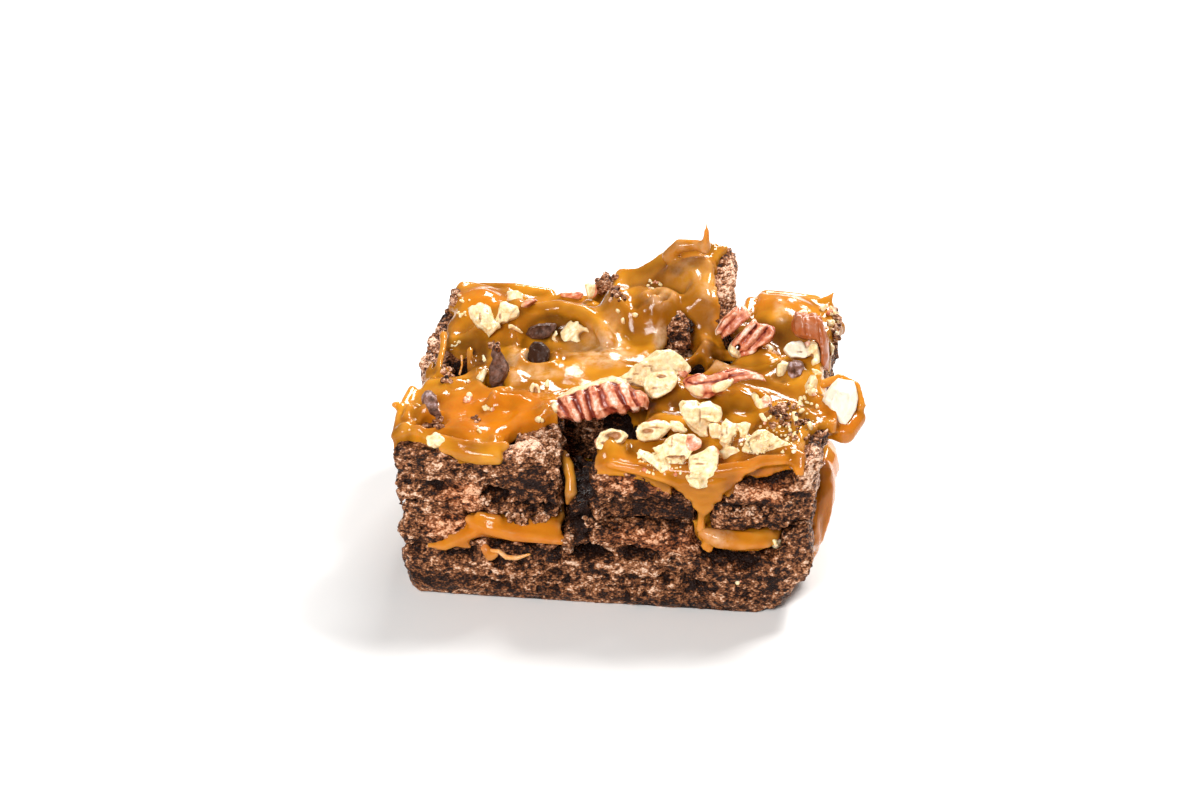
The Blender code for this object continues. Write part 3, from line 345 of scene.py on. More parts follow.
# Broken nuts as flat-faced shards, each drawn as its outline on the photograph in pixels. In front of it are
# its share of skin, which is under 0 where the flesh is whiter, how far it lies towards the camera from the
# middle of its node, its thickness and its roughness. After the shards come hollows and brown marks: column,
# row, two half widths and depth.
NUTS = {
    "nut_left_upper": ([
        (0.1, 0.3, 3, 0.22, [
            (467, 308), (471, 304), (478, 302), (490, 307), (496, 328), (491, 333), (489, 338), (481, 330),
            (477, 329), (469, 314)]),
        (0, -0.5, 3.2, 0.12, [
            (499, 303), (506, 302), (518, 306), (520, 311), (519, 317), (507, 323), (502, 324), (498, 322),
            (496, 319), (498, 313)]),
        (0.1, 0.8, 2.2, 0.2, [(494, 322), (500, 322), (502, 327), (496, 330), (488, 339), (487, 333)]),
        (0, 0.6, 0.9, 0.05, [(507, 324), (511, 323), (524, 333), (522, 334), (511, 328), (508, 329)]),
    ], [(494.6, 315, 1.6, 4.5, 0.7), (480, 318, 1, 5, 0.3), (487, 312, 1, 3, 0.3), (500, 316, 1, 3, 0.2)]),
    "nut_left_far": ([
        (0, 0, 2.6, 0.12, [
            (507, 292), (516, 291), (522, 294), (524, 300), (520, 304), (511, 304), (508, 299)]),
    ], []),
    "nut_ridge": ([
        (0, 0, 1.8, 0.12, [
            (584, 285), (589, 282), (593, 283), (595, 293), (592, 298), (589, 299), (586, 293)]),
        (0.9, -0.4, 1.4, 0.1, [(592, 284), (596, 285), (597, 290), (596, 296), (593, 298), (594, 292)]),
    ], []),
    "nut_broken_large": ([
        (0, -0.8, 3, 0.12, [
            (640, 361), (646, 358), (651, 353), (656, 350), (670, 350), (677, 353), (683, 358), (692, 367),
            (692, 371), (687, 375), (673, 371), (657, 372), (645, 371)]),
        (0.08, 0, 2.8, 0.16, [
            (615, 380), (627, 373), (634, 364), (646, 360), (654, 366), (652, 380), (643, 388), (632, 384),
            (625, 387)]),
        (0, 0.7, 3, 0.1, [
            (641, 380), (648, 372), (655, 370), (674, 370), (678, 374), (679, 379), (676, 386), (671, 391),
            (657, 400), (652, 400), (648, 396), (644, 389)]),
        (0.9, -0.5, 1.8, 0.1, [(677, 371), (684, 370), (689, 373), (687, 378), (683, 378), (679, 376)]),
    ], [
        (661.8, 376.4, 4.5, 1.1, 0.3), (636, 374, 3.5, 1, 0.2), (648, 366, 5, 0.8, 0.2),
        (629, 379, 3, 1, 0.2), (655, 388, 3, 1, 0.12)]),
    "nut_hollow": ([
        (0, 0, 2.2, 0.12, [
            (594, 443), (600, 432), (612, 428), (623, 430), (628, 436), (622, 443), (612, 448), (601, 451),
            (597, 449)]),
        (0.9, -0.3, 1.6, 0.1, [(594, 440), (600, 435), (603, 440), (601, 446), (596, 449)]),
    ], [(613.9, 435.8, 7.5, 3.4, 1.1), (603, 443, 2, 1.4, 0.3)]),
    "nut_oval": ([
        (0, 0, 2.4, 0.12, [
            (636, 431), (638, 426), (644, 423), (652, 421), (666, 421), (670, 424), (671, 428), (660, 439),
            (654, 441), (644, 442), (638, 440), (636, 436)]),
        (0.9, -0.6, 1.6, 0.1, [(643, 424), (650, 420), (660, 420), (662, 424), (655, 426), (648, 426)]),
        (0.1, -0.4, 1.4, 0.28, [(671, 422), (679, 421), (686, 431), (683, 433), (676, 431), (672, 428)]),
    ], [(647.3, 431, 5.6, 2.7, 0.6), (655, 427.5, 8, 0.9, 0.2)]),
    "nut_heart": ([
        (0, 0, 3, 0.1, [
            (678, 404), (681, 400), (696, 400), (699, 404), (703, 402), (710, 402), (716, 404), (721, 408),
            (722, 414), (720, 421), (716, 422), (710, 421), (707, 426), (706, 433), (699, 434), (694, 433),
            (686, 424), (679, 412)]),
        (0.3, 0.2, 1.6, 0.15, [(697, 433), (706, 431), (709, 436), (704, 438), (698, 437)]),
    ], [(699, 402.5, 1.7, 3.8, 0.6), (700, 416, 1, 7, 0.15)]),
    "nut_yellow": ([
        (0, 0, 2.8, 0.14, [
            (652, 448), (664, 443), (669, 437), (676, 433), (686, 434), (688, 439), (688, 446), (686, 456),
            (681, 457), (661, 457), (656, 454)]),
        (0.9, 0.2, 2.4, 0.12, [
            (688, 434), (694, 434), (702, 441), (701, 447), (696, 450), (689, 452), (686, 446), (686, 438)]),
        (0.3, 0.5, 1.6, 0.15, [(684, 453), (692, 451), (690, 459), (685, 462)]),
        (0.05, 0.2, 2, 0.34, [
            (636, 452), (640, 450), (660, 457), (669, 458), (681, 457), (686, 461), (683, 464), (684, 470),
            (678, 476), (668, 476), (644, 460), (637, 458)]),
    ], [(676, 456.8, 9, 0.9, 0.4), (672, 441, 1, 7, 0.15)]),
    "nut_front": ([
        (0.1, 0.2, 2.8, 0.14, [
            (690, 456), (710, 447), (716, 448), (719, 454), (719, 462), (712, 477), (706, 480), (686, 480),
            (684, 476), (688, 470), (690, 463)]),
        (0.9, -0.2, 2, 0.1, [(706, 448), (713, 446), (718, 449), (720, 455), (715, 454)]),
        (0.1, 0.5, 2, 0.3, [(684, 478), (712, 477), (711, 484), (708, 488), (700, 489), (690, 486)]),
    ], [(699, 464, 7, 1, 0.35), (695, 459, 3.5, 0.9, 0.25), (689, 473, 1.2, 4, 0.3)]),
    "nut_flat": ([
        (0.05, 0, 2, 0.34, [
            (742, 448), (746, 439), (752, 433), (757, 430), (764, 430), (788, 443), (795, 450), (788, 453),
            (776, 452), (768, 450), (762, 452), (756, 456), (750, 454)]),
    ], []),
    "nut_edge": ([
        (-0.9, 0, 4.4, 0.05, [
            (822, 399), (825, 392), (831, 384), (838, 378), (854, 381), (857, 388), (858, 399), (856, 410),
            (845, 425), (840, 425), (833, 418), (827, 414), (823, 408)]),
    ], []),
    "nut_right_upper": ([
        (-0.8, 0.6, 2.8, 0.1, [
            (782, 350), (786, 344), (792, 341), (799, 340), (803, 342), (810, 356), (806, 359), (790, 358)]),
        (0, 0.2, 2.4, 0.1, [
            (811, 342), (813, 340), (817, 342), (820, 348), (821, 356), (820, 363), (817, 368), (811, 369),
            (809, 364), (811, 359), (806, 350)]),
        (0.9, -0.5, 1.8, 0.1, [(803, 343), (808, 340), (812, 343), (811, 348), (806, 348)]),
    ], [(812, 357, 1.6, 2.8, 0.7), (800, 352, 3, 0.8, 0.15)]),
    "nut_bits": ([
        (0, -0.3, 1.9, 0.12, [(708, 424), (713, 422), (719, 424), (720, 439), (712, 439), (709, 430)]),
        (0.05, 0, 2.6, 0.16, [
            (722, 424), (726, 418), (734, 424), (737, 434), (734, 437), (732, 443), (726, 447), (721, 446),
            (718, 443), (721, 436), (720, 429)]),
        (0.2, -0.2, 2, 0.14, [(741, 423), (747, 422), (751, 424), (746, 439), (741, 438), (740, 430)]),
        (0, 0.5, 2.4, 0.14, [
            (717, 452), (724, 447), (733, 446), (738, 449), (740, 453), (726, 461), (719, 459)]),
        (0.6, -0.3, 1.4, 0.1, [(735, 424), (739, 423), (740, 430), (736, 431)]),
    ], [(722.5, 434.5, 1.4, 1.6, 0.4), (727, 431, 1, 4, 0.2)]),
    "nut_right_side": ([
        (0.2, 0, 2.2, 0.14, [
            (804, 386), (812, 375), (816, 376), (819, 380), (815, 396), (811, 398), (806, 392)]),
        (0.1, 0.3, 1.8, 0.14, [(801, 401), (806, 399), (811, 402), (812, 408), (809, 412), (804, 409)]),
        (0.1, -0.3, 1, 0.08, [(811, 368), (818, 369), (824, 374), (821, 376), (815, 374)]),
    ], [(809, 385, 1, 3, 0.2)]),
}

# The crumb lump: how far it lies towards the camera, its thickness and its outline.
CRUMB_LUMP = (0.3, 3.4, [
    (677, 309), (683, 312), (689, 320), (691, 333), (690, 346), (687, 351), (677, 351), (668, 343),
    (666, 333), (672, 315)])

# Chips and dark lumps: how grey their bloom and painted highlight are, their thickness and their outline.
CHIPS = {
    "chip_centre": (0, 3.4, [
        (527, 354), (529, 346), (534, 342), (540, 342), (546, 345), (550, 351), (549, 358), (545, 364),
        (539, 366), (532, 365), (528, 360)]),
    "chip_above": (0.35, 2.6, [
        (525, 334), (529, 328), (537, 324), (548, 322), (556, 323), (556, 329), (546, 338), (538, 339),
        (531, 338)]),
    "chip_left": (0.5, 2.8, [
        (493, 343), (497, 344), (508, 368), (507, 376), (500, 387), (492, 388), (488, 383), (490, 376),
        (490, 364), (492, 357), (491, 350)]),
    "chip_corner": (0.9, 2.4, [
        (422, 396), (425, 391), (430, 390), (435, 396), (438, 409), (442, 417), (437, 422), (430, 418),
        (426, 409), (422, 404)]),
    "chip_right": (1, 2.8, [
        (787, 368), (789, 362), (795, 360), (801, 362), (803, 367), (802, 374), (798, 379), (792, 380),
        (788, 376)]),
}

# Small slivers and shards that lie on the caramel: share of skin, thickness, roughness and outline.
SLIVERS = [
    (0.1, 1.8, 0.12, [
        (562, 332), (567, 324), (571, 320), (573, 325), (580, 324), (587, 327), (592, 334), (591, 341),
        (585, 346), (577, 346), (569, 343), (561, 344)]),
    (0.1, 1, 0.06, [(552, 336), (556, 330), (558, 332), (554, 338), (558, 344), (556, 344), (552, 341)]),
    (0.2, 1.4, 0.08, [(529, 387), (532, 382), (537, 384), (541, 391), (542, 398), (537, 399), (531, 396)]),
    (0.1, 1, 0.06, [(546, 380), (549, 378), (550, 387), (545, 391), (544, 386)]),
    (0, 1, 0.08, [(477, 376), (484, 369), (487, 370), (484, 380), (481, 391), (476, 389)]),
    (0.2, 0.9, 0.06, [(482, 354), (484, 354), (487, 362), (486, 368), (482, 360)]),
    (0.6, 1.8, 0.1, [(520, 306), (524, 301), (531, 298), (538, 300), (527, 309), (521, 309)]),
    (1, 1.8, 0.1, [(560, 293), (578, 292), (584, 294), (580, 299), (573, 299), (561, 297)]),
    (0, 1.5, 0.08, [(751, 396), (753, 392), (757, 396), (763, 412), (759, 414)]),
    (0.6, 1.8, 0.12, [(761, 399), (766, 394), (771, 399), (774, 406), (772, 409), (764, 410), (761, 406)]),
    (0.1, 1.2, 0.1, [(758, 414), (762, 413), (768, 420), (767, 423), (762, 421)]),
    (0.1, 1.4, 0.1, [(766, 346), (770, 344), (775, 349), (771, 352), (768, 350)]),
    (0.05, 2.2, 0.12, [(776, 370), (779, 363), (783, 361), (788, 363), (785, 378), (779, 381), (776, 376)]),
    (0.2, 1.6, 0.1, [(820, 307), (826, 304), (828, 306), (824, 312), (821, 311)]),
    (0.8, 1.4, 0.1, [(825, 313), (831, 309), (833, 314), (829, 317)]),
    (0, 1.6, 0.14, [(826, 319), (833, 318), (833, 326), (829, 328)]),
    (0, 1.6, 0.14, [(834, 310), (839, 314), (840, 324), (836, 326), (834, 318)]),
    (0.1, 1.4, 0.14, [(834, 330), (839, 332), (838, 338), (835, 339)]),
    (0.1, 1.4, 0.14, [(830, 340), (834, 346), (833, 355), (830, 358)]),
    (0.2, 1.4, 0.12, [(806, 421), (811, 420), (814, 426), (812, 432), (808, 429)]),
    (0.3, 1.4, 0.12, [(792, 412), (797, 411), (798, 417), (799, 424), (796, 426), (793, 418)]),
    (0, 2, 0.3, [(426, 437), (435, 433), (446, 440), (444, 447), (433, 449), (427, 444)]),
    (0, 1, 0.1, [(620, 318), (623, 316), (625, 319), (625, 324), (622, 324)]),
    (0, 0.8, 0.08, [(632, 314), (635, 313), (638, 315), (636, 317), (633, 316)]),
]
SLIVER_HOLES = [(583.3, 335.8, 5, 4.4, 0.9), (535.4, 391.4, 2.2, 5, 0.8)]

# Bits too small to model one by one: column and row on the photograph and half widths of the patch in pixels,
# how many, and the smallest and largest radius in millimetres. Each bit lies on what is seen there.
NUT_BITS = [
    (662, 468, 22, 7, 26, 0.12, 0.34), (768, 443, 28, 10, 46, 0.12, 0.34),
    (778, 428, 18, 12, 34, 0.12, 0.34), (835, 322, 5, 16, 24, 0.14, 0.34),
    (808, 400, 10, 22, 16, 0.2, 0.45), (617, 311, 1, 1, 2, 0.28, 0.36), (461, 315, 5, 3, 8, 0.14, 0.3),
    (455, 344, 5, 2.5, 9, 0.12, 0.28), (468, 399, 4, 3, 6, 0.25, 0.5), (488, 409, 6, 2, 8, 0.2, 0.4),
    (468, 381, 1, 1, 2, 0.25, 0.35), (540, 420, 2, 2.5, 4, 0.3, 0.5), (478, 430, 2, 2.5, 3, 0.2, 0.35),
    (655, 285, 8, 4, 16, 0.12, 0.3), (777, 542.5, 3.6, 2.6, 7, 0.35, 0.6), (738, 581, 3, 2, 5, 0.2, 0.4),
    (464, 297, 7, 5, 7, 0.14, 0.34),
]
CRUMB_BITS = [
    (450, 296, 7, 7, 30, 0.3, 0.9), (836, 330, 4, 16, 22, 0.2, 0.5), (783, 415, 14, 12, 60, 0.18, 0.5),
    (800, 430, 10, 10, 24, 0.16, 0.4), (607, 283, 10, 8, 26, 0.5, 1.1), (617, 297, 7, 4, 10, 0.3, 0.6),
    (494, 346, 5, 5, 12, 0.25, 0.5), (448, 374, 6, 8, 20, 0.25, 0.6), (475, 420, 4, 3, 8, 0.2, 0.4),
    (437, 423, 6, 5, 14, 0.2, 0.5), (560, 452, 8, 8, 16, 0.2, 0.45), (528, 519, 20, 5, 46, 0.25, 0.55),
    (567, 543, 5, 6, 18, 0.3, 0.8), (486, 500, 8, 6, 14, 0.3, 0.6), (604, 522, 20, 5, 20, 0.2, 0.45),
    (742, 512, 22, 5, 24, 0.2, 0.45),
]

# Places and colours along the ramps, and the tints over the caramel: stored number, its weight and colour.
# The top stop of the crumb ramp is partly painted glint on the moist grains.
CRUMB_TONES = [
    (0.0, (0.014, 0.004, 0.002)), (0.25, (0.085, 0.026, 0.008)), (0.5, (0.25, 0.09, 0.033)),
    (0.75, (0.5, 0.215, 0.1)), (1.0, (0.92, 0.62, 0.44)),
]
CARAMEL_TONES = [(0.34, (0.3, 0.1, 0.004)), (0.5, (0.45, 0.168, 0.008)), (0.64, (0.57, 0.235, 0.014))]
CARAMEL_TINTS = [
    ("orange", 0.8, (0.54, 0.15, 0.004)), ("shallow", None, (0.22, 0.075, 0.008)),
    ("browned", 0.8, (0.11, 0.034, 0.003)), ("thin", None, (0.66, 0.235, 0.008)),
]
# The pale pink-white top of the skin ramp is partly painted sheen on the ridges.
SKIN_TONES = [
    (0.05, (0.17, 0.02, 0.009)), (0.3, (0.33, 0.056, 0.026)), (0.55, (0.54, 0.14, 0.062)),
    (0.8, (0.78, 0.34, 0.2)), (1.0, (0.96, 0.76, 0.62)),
]
FLESH_TONES = [(0.25, (0.64, 0.38, 0.13)), (0.42, (0.87, 0.66, 0.34)), (0.62, (0.96, 0.84, 0.56))]
BLOOM_TONES = [(0.0, (0.04, 0.014, 0.006)), (0.6, (0.24, 0.12, 0.085)), (1.0, (0.5, 0.38, 0.4))]

# A shard's cross-section: share of its half thickness and of its outline.
SHARD_LAYERS = ((-1.0, 0.55), (-0.7, 0.88), (0.0, 1.0), (0.7, 0.88), (1.0, 0.55))

CORNERS = np.array(list(itertools.product((0, 1), repeat=3)))
AROUND = np.array(list(itertools.product((-1, 0, 1), repeat=3)))


def view_axes():
    """The camera's right, up and backward directions, one in each row."""
    azimuth, elevation = math.radians(CAMERA["azimuth"]), math.radians(CAMERA["elevation"])
    level = math.cos(elevation)
    back = (math.sin(azimuth) * level, -math.cos(azimuth) * level, math.sin(elevation))
    right = (math.cos(azimuth), math.sin(azimuth), 0.0)
    return np.array([right, np.cross(back, right), back])


VIEW = view_axes()
EYE = np.array(CAMERA["aim"]) + VIEW[2] * CAMERA["distance"]
FOCAL = CAMERA["lens"] / SENSOR * PHOTO_WIDTH


def from_photo(spots, depth):
    """The points seen at some pixels of the photograph, at that distance in front of the camera."""
    spots = np.asarray(spots, float)
    right, up = (spots[:, 0] - PHOTO_WIDTH / 2) / FOCAL, (PHOTO_HEIGHT / 2 - spots[:, 1]) / FOCAL
    return EYE + depth * (right[:, None] * VIEW[0] + up[:, None] * VIEW[1] - VIEW[2])


def to_photo(points):
    """The column and row of the photograph where each point is seen."""
    away = points - EYE
    depth = -(away @ VIEW[2])
    column = PHOTO_WIDTH / 2 + FOCAL * (away @ VIEW[0]) / depth
    row = PHOTO_HEIGHT / 2 - FOCAL * (away @ VIEW[1]) / depth
    return column, row


def seen_along(target, ray):
    """The place and the normal of what is seen along a ray from the camera, or None twice."""
    return target.ray_cast(Vector(EYE), Vector(ray).normalized())[:2]


# Noise fields on arrays of points in millimetres.


def lattice(cell, seed):
    """A fixed random number from 0 to 1 for each whole-number cell."""
    c = cell.astype(np.int64)
    bits = (c[..., 0] * 73856093) ^ (c[..., 1] * 19349663) ^ (c[..., 2] * 83492791) ^ (seed * 668265263)
    bits = (bits ^ (bits >> 13)) & 0xFFFFFFFF
    bits = (bits * 1274126177) & 0xFFFFFFFF
    bits = bits ^ (bits >> 16)
    return (bits & 0xFFFFFF) / float(0xFFFFFF)


def swirl(points, size, seed):
    """Smooth noise from -1 to 1 whose bumps are about that many millimetres wide."""
    scaled = points / size
    base = np.floor(scaled)
    part = scaled - base
    part = part * part * (3.0 - 2.0 * part)
    total = np.zeros(len(points))
    for corner in CORNERS:
        weight = np.where(corner, part, 1.0 - part).prod(axis=1)
        total += weight * lattice(base + corner, seed)
    return 2.0 * total - 1.0


def flat_swirl(x, y, size, seed):
    """The same noise on a grid that lies level."""
    points = np.stack([x.ravel(), y.ravel(), np.full(x.size, 5.0)], axis=1)
    return swirl(points, size, seed).reshape(x.shape)


def grains(points, size, seed):
    """Each point's distance to its nearest and second nearest grain centre, and that grain's own number."""
    scaled = points / size
    base = np.floor(scaled)
    nearest = np.full(len(points), 9.0)
    second = np.full(len(points), 9.0)
    own = np.zeros(len(points))
    for step in AROUND:
        cell = base + step
        centre = cell + np.stack([lattice(cell, seed + k) for k in range(3)], axis=1)
        away = np.linalg.norm(centre - scaled, axis=1)
        closer = away < nearest
        second = np.where(closer, nearest, np.minimum(second, away))
        own = np.where(closer, lattice(cell, seed + 3), own)
        nearest = np.where(closer, away, nearest)
    return nearest, second, own


def unit(values):
    """The values kept from 0 to 1."""
    return np.clip(values, 0.0, 1.0)


def oval(x, y, spot):
    """Distance from an ellipse's middle, 1 at its rim. The spot begins with its middle and half widths."""
    return np.hypot((x - spot[0]) / spot[2], (y - spot[1]) / spot[3])


def inside(x, z, spots):
    """How far inside the nearest of some ellipses each point is, from 0 at the rim to 1 at the middle."""
    return np.max([unit((1.15 - oval(x, z, spot)) * 1.6) for spot in spots], axis=0)


def zone(points, spots):
    """How strongly each point is marked by some soft round spots."""
    most = np.zeros(len(points))
    wobble = 0.25 * swirl(points, 2.2, 77)
    for spot in spots:
        away = np.linalg.norm((points - spot[:3]) / spot[3:6], axis=1) + wobble
        most = np.maximum(most, spot[6] * unit((1.25 - away) * 1.3))
    return unit(most)


# Meshes.


def read(mesh, key):
    """Three numbers for each vertex, one vertex in each row."""
    flat = np.empty(len(mesh.vertices) * 3, np.float32)
    mesh.vertices.foreach_get(key, flat)
    return flat.reshape(-1, 3).astype(float)


def get_points(mesh):
    return read(mesh, "co") / MM


def get_normals(mesh):
    return read(mesh, "normal")


def set_points(mesh, points):
    mesh.vertices.foreach_set("co", (points * MM).astype(np.float32).ravel())
    mesh.update()


def push_out(mesh, push):
    """Moves each vertex along its normal."""
    set_points(mesh, get_points(mesh) + get_normals(mesh) * push[:, None])


def new_mesh(name, points, faces):
    mesh = bpy.data.meshes.new(name)
    mesh.from_pydata((np.asarray(points) * MM).tolist(), [], faces)
    return mesh


def set_fields(mesh, **fields):
    """Stores numbers for each vertex under their names, which the material reads."""
    for name, values in fields.items():
        made = mesh.attributes.get(name) or mesh.attributes.new(name, "FLOAT", "POINT")
        made.data.foreach_set("value", np.broadcast_to(values, len(mesh.vertices)).astype(np.float32))


def neighbour_mean(mesh):
    """A function that gives each vertex the mean of its neighbours' numbers."""
    ends = np.empty(len(mesh.edges) * 2, np.int32)
    mesh.edges.foreach_get("vertices", ends)
    a, b = ends.reshape(-1, 2).T
    count = len(mesh.vertices)
    near = np.maximum(np.bincount(a, minlength=count) + np.bincount(b, minlength=count), 1)

    def mean(values):
        if values.ndim == 2:
            return np.stack([mean(column) for column in values.T], axis=1)
        return (np.bincount(a, values[b], count) + np.bincount(b, values[a], count)) / near

    return mean


def relax(mesh, times, hold=0.53):
    """Smooths the mesh. It shrinks little, since each step in is followed by one out."""
    mean, points = neighbour_mean(mesh), get_points(mesh)
    for step in range(2 * times):
        points += (mean(points) - points) * (0.5 if step % 2 == 0 else -hold)
    set_points(mesh, points)


def averaged(mesh, values, times):
    """Averages each vertex's number with its neighbours'."""
    mean = neighbour_mean(mesh)
    for _ in range(times):
        values = 0.4 * values + 0.6 * mean(values)
    return values


def hollows(mesh, times):
    """How far each vertex lies under the smoothed surface round it, in millimetres."""
    points = get_points(mesh)
    return ((averaged(mesh, points, times) - points) * get_normals(mesh)).sum(axis=1)


def link(obj):
    bpy.context.scene.collection.objects.link(obj)
    return obj


def make_object(name, mesh, material):
    mesh.materials.clear()
    mesh.materials.append(material)
    mesh.polygons.foreach_set("use_smooth", [True] * len(mesh.polygons))
    return link(bpy.data.objects.new(name, mesh))


def remesh(mesh, voxel, times):
    """A new closed and smoothed skin round everything in the mesh."""
    obj = link(bpy.data.objects.new("work", mesh))
    modifier = obj.modifiers.new("skin", "REMESH")
    modifier.mode = "VOXEL"
    modifier.voxel_size = voxel * MM
    graph = bpy.context.evaluated_depsgraph_get()
    made = bpy.data.meshes.new_from_object(obj.evaluated_get(graph))
    bpy.data.objects.remove(obj)
    relax(made, times)
    return made


def add_ball(bm, centre, radii, turn=None):
    matrix = Matrix.LocRotScale(Vector(centre) * MM, turn, Vector(radii) * MM)
    bmesh.ops.create_icosphere(bm, subdivisions=2, radius=1.0, matrix=matrix)


def add_run(bm, line):
    """Adds a row of overlapping balls along a line of points with radii."""
    for first, last in zip(line, line[1:]):
        a, b = np.array(first), np.array(last)
        count = max(2, int(np.linalg.norm(b[:3] - a[:3]) / (0.45 * min(a[3], b[3]))))
        for k in range(count + 1):
            x, y, z, r = a + (b - a) * k / count
            add_ball(bm, (x, y, z), (r, r, r))


def mesh_of(bm, name):
    mesh = bpy.data.meshes.new(name)
    bm.to_mesh(mesh)
    bm.free()
    return mesh


def make_piece(name, mesh, material, slot, *nodes):
    """A piece of the model, which stands in for the nodes if any are named."""
    obj = make_object(name, mesh, material)
    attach(obj, "root")
    if nodes:
        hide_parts(*nodes)
    return obj


def tree_of(meshes):
    """A search tree, in millimetres, of all the meshes' triangles."""
    points, faces, start = [], [], 0
    for mesh in meshes:
        mesh.calc_loop_triangles()
        index = np.empty(len(mesh.loop_triangles) * 3, np.int32)
        mesh.loop_triangles.foreach_get("vertices", index)
        points.append(get_points(mesh))
        faces.append(index.reshape(-1, 3) + start)
        start += len(mesh.vertices)
    return BVHTree.FromPolygons(np.concatenate(points).tolist(), np.concatenate(faces).tolist())


# Materials.


def feed(tree, socket, value):
    """Links a socket to the input, or sets anything else on it. A colour may leave out its alpha."""
    if isinstance(value, bpy.types.NodeSocket):
        tree.links.new(value, socket)
    elif socket.type == "RGBA" and len(value) == 3:
        socket.default_value = (*value, 1.0)
    else:
        socket.default_value = value


def feed_all(tree, made, **inputs):
    for key, value in inputs.items():
        feed(tree, made.inputs[key.replace("_", " ")], value)


def node(tree, kind, settings=None, **inputs):
    made = tree.nodes.new("ShaderNode" + kind)
    for key, value in (settings or {}).items():
        setattr(made, key, value)
    feed_all(tree, made, **inputs)
    return made


def ramp(tree, factor, stops):
    made = node(tree, "ValToRGB", Fac=factor)
    elements = made.color_ramp.elements
    while len(elements) < len(stops):
        elements.new(0.5)
    for element, (place, colour) in zip(elements, stops):
        element.position = place
        element.color = (*colour, 1.0) if hasattr(colour, "__len__") else (colour, colour, colour, 1.0)
    return made.outputs["Color"]


def maths(tree, operation, first, second=0.0, clamp=False):
    made = node(tree, "Math", {"operation": operation, "use_clamp": clamp})
    feed(tree, made.inputs[0], first)
    feed(tree, made.inputs[1], second)
    return made.outputs[0]


def mixed(tree, factor, first, second, blend="MIX"):
    made = node(tree, "MixRGB", {"blend_type": blend}, Fac=factor, Color1=first, Color2=second)
    return made.outputs["Color"]


def weighed(tree, start, *terms):
    """The start plus each term's distance from its middle times its weight, kept from 0 to 1."""
    total = start
    for value, middle, weight in terms:
        part = maths(tree, "MULTIPLY", maths(tree, "SUBTRACT", value, middle), weight)
        total = maths(tree, "ADD", part, total)
    return maths(tree, "ADD", total, 0.0, clamp=True)


def field(tree, name, weight=None):
    """A number stored on the mesh, times the weight if there is one."""
    value = node(tree, "Attribute", {"attribute_name": name}).outputs["Fac"]
    return value if weight is None else maths(tree, "MULTIPLY", value, weight)


def speckle(tree, where, size, detail=2.0, rough=0.6):
    """Noise from 0 to 1 whose bumps are about that many millimetres wide."""
    made = node(tree, "TexNoise", Vector=where, Scale=1.0 / (size * MM), Detail=detail, Roughness=rough)
    return made.outputs["Fac"]


def bump(tree, height, depth, **normal):
    return node(tree, "Bump", Height=height, Distance=depth * MM, Strength=1.0, **normal).outputs["Normal"]


def new_material(name):
    material = bpy.data.materials.new(name)
    material.use_nodes = True
    tree = material.node_tree
    where = node(tree, "TexCoord").outputs["Object"]
    return material, tree, tree.nodes["Principled BSDF"], where


def crumb_material():
    """Baked chocolate crumb with lighter grains and moist glints, painted shade in its pits and gaps, and
    painted highlights in places.
    """
    material, tree, shader, where = new_material("crumb")
    flat = node(tree, "VectorMath", {"operation": "MULTIPLY"})
    feed(tree, flat.inputs[0], where)
    feed(tree, flat.inputs[1], (1.0, 1.0, 1.5))
    where = flat.outputs[0]
    fine = speckle(tree, where, 1.0, 3.5, 0.68)
    broad = speckle(tree, where, 4.0)
    pits = ramp(tree, speckle(tree, where, 1.1, 2.0, 0.5), [(0.36, 1.0), (0.43, 0.0)])
    cell = node(tree, "TexVoronoi", Vector=where, Scale=1.0 / (0.44 * MM), Randomness=1.0).outputs
    own = node(tree, "SeparateColor", Color=cell["Color"]).outputs[0]
    # Darker toward the grain edges and where the dark field is: painted shade. The pale field and the top of
    # the ramp are partly painted highlight and glint.
    tone = weighed(
        tree, 0.66, (fine, 0.5, 2.0), (own, 0.5, 0.26), (field(tree, "tone"), 0.5, 0.55), (broad, 0.5, 0.8),
        (cell["Distance"], 0.45, -0.7), (pits, 0.0, -0.28), (field(tree, "dark"), 0.0, -0.42),
        (field(tree, "pale"), 0.0, 0.46), (field(tree, "red"), 0.0, 0.14),
    )
    colour = ramp(tree, tone, CRUMB_TONES)
    grained = bump(tree, maths(tree, "MULTIPLY", cell["Distance"], -1.0), 0.3)
    feed_all(
        tree, shader, Base_Color=mixed(tree, field(tree, "red", 0.6), colour, (1.0, 0.66, 0.42), "MULTIPLY"),
        Roughness=ramp(tree, speckle(tree, where, 0.8), [(0.35, 0.28), (0.6, 0.6)]), Specular_IOR_Level=0.22,
        Normal=bump(tree, fine, 0.6, Normal=grained),
    )
    return material


def caramel_material():
    """Poured caramel: clear amber, yellower where thin, browner over the crumb, with painted shade in hollows
    and painted sheen in milky swirls.
    """
    material, tree, shader, where = new_material("caramel")
    colour = ramp(tree, speckle(tree, where, 6.0, 2.0, 0.5), CARAMEL_TONES)
    for name, weight, tint in CARAMEL_TINTS:
        colour = mixed(tree, field(tree, name, weight), colour, tint)
    cloudy = ramp(tree, speckle(tree, where, 1.6, 3.0), [(0.35, 0.05), (0.7, 0.75)])
    waves = bump(tree, speckle(tree, where, 3.0, 1.0, 0.4), 0.09)
    feed_all(
        tree, shader, Base_Color=mixed(tree, field(tree, "milky", cloudy), colour, (0.82, 0.58, 0.36)),
        Roughness=0.12, IOR=1.35, Specular_IOR_Level=0.42, Subsurface_Weight=0.25,
        Subsurface_Radius=(1.0, 0.3, 0.05), Subsurface_Scale=1.2 * MM,
        Normal=bump(tree, speckle(tree, where, 0.7), 0.025, Normal=waves),
    )
    return material


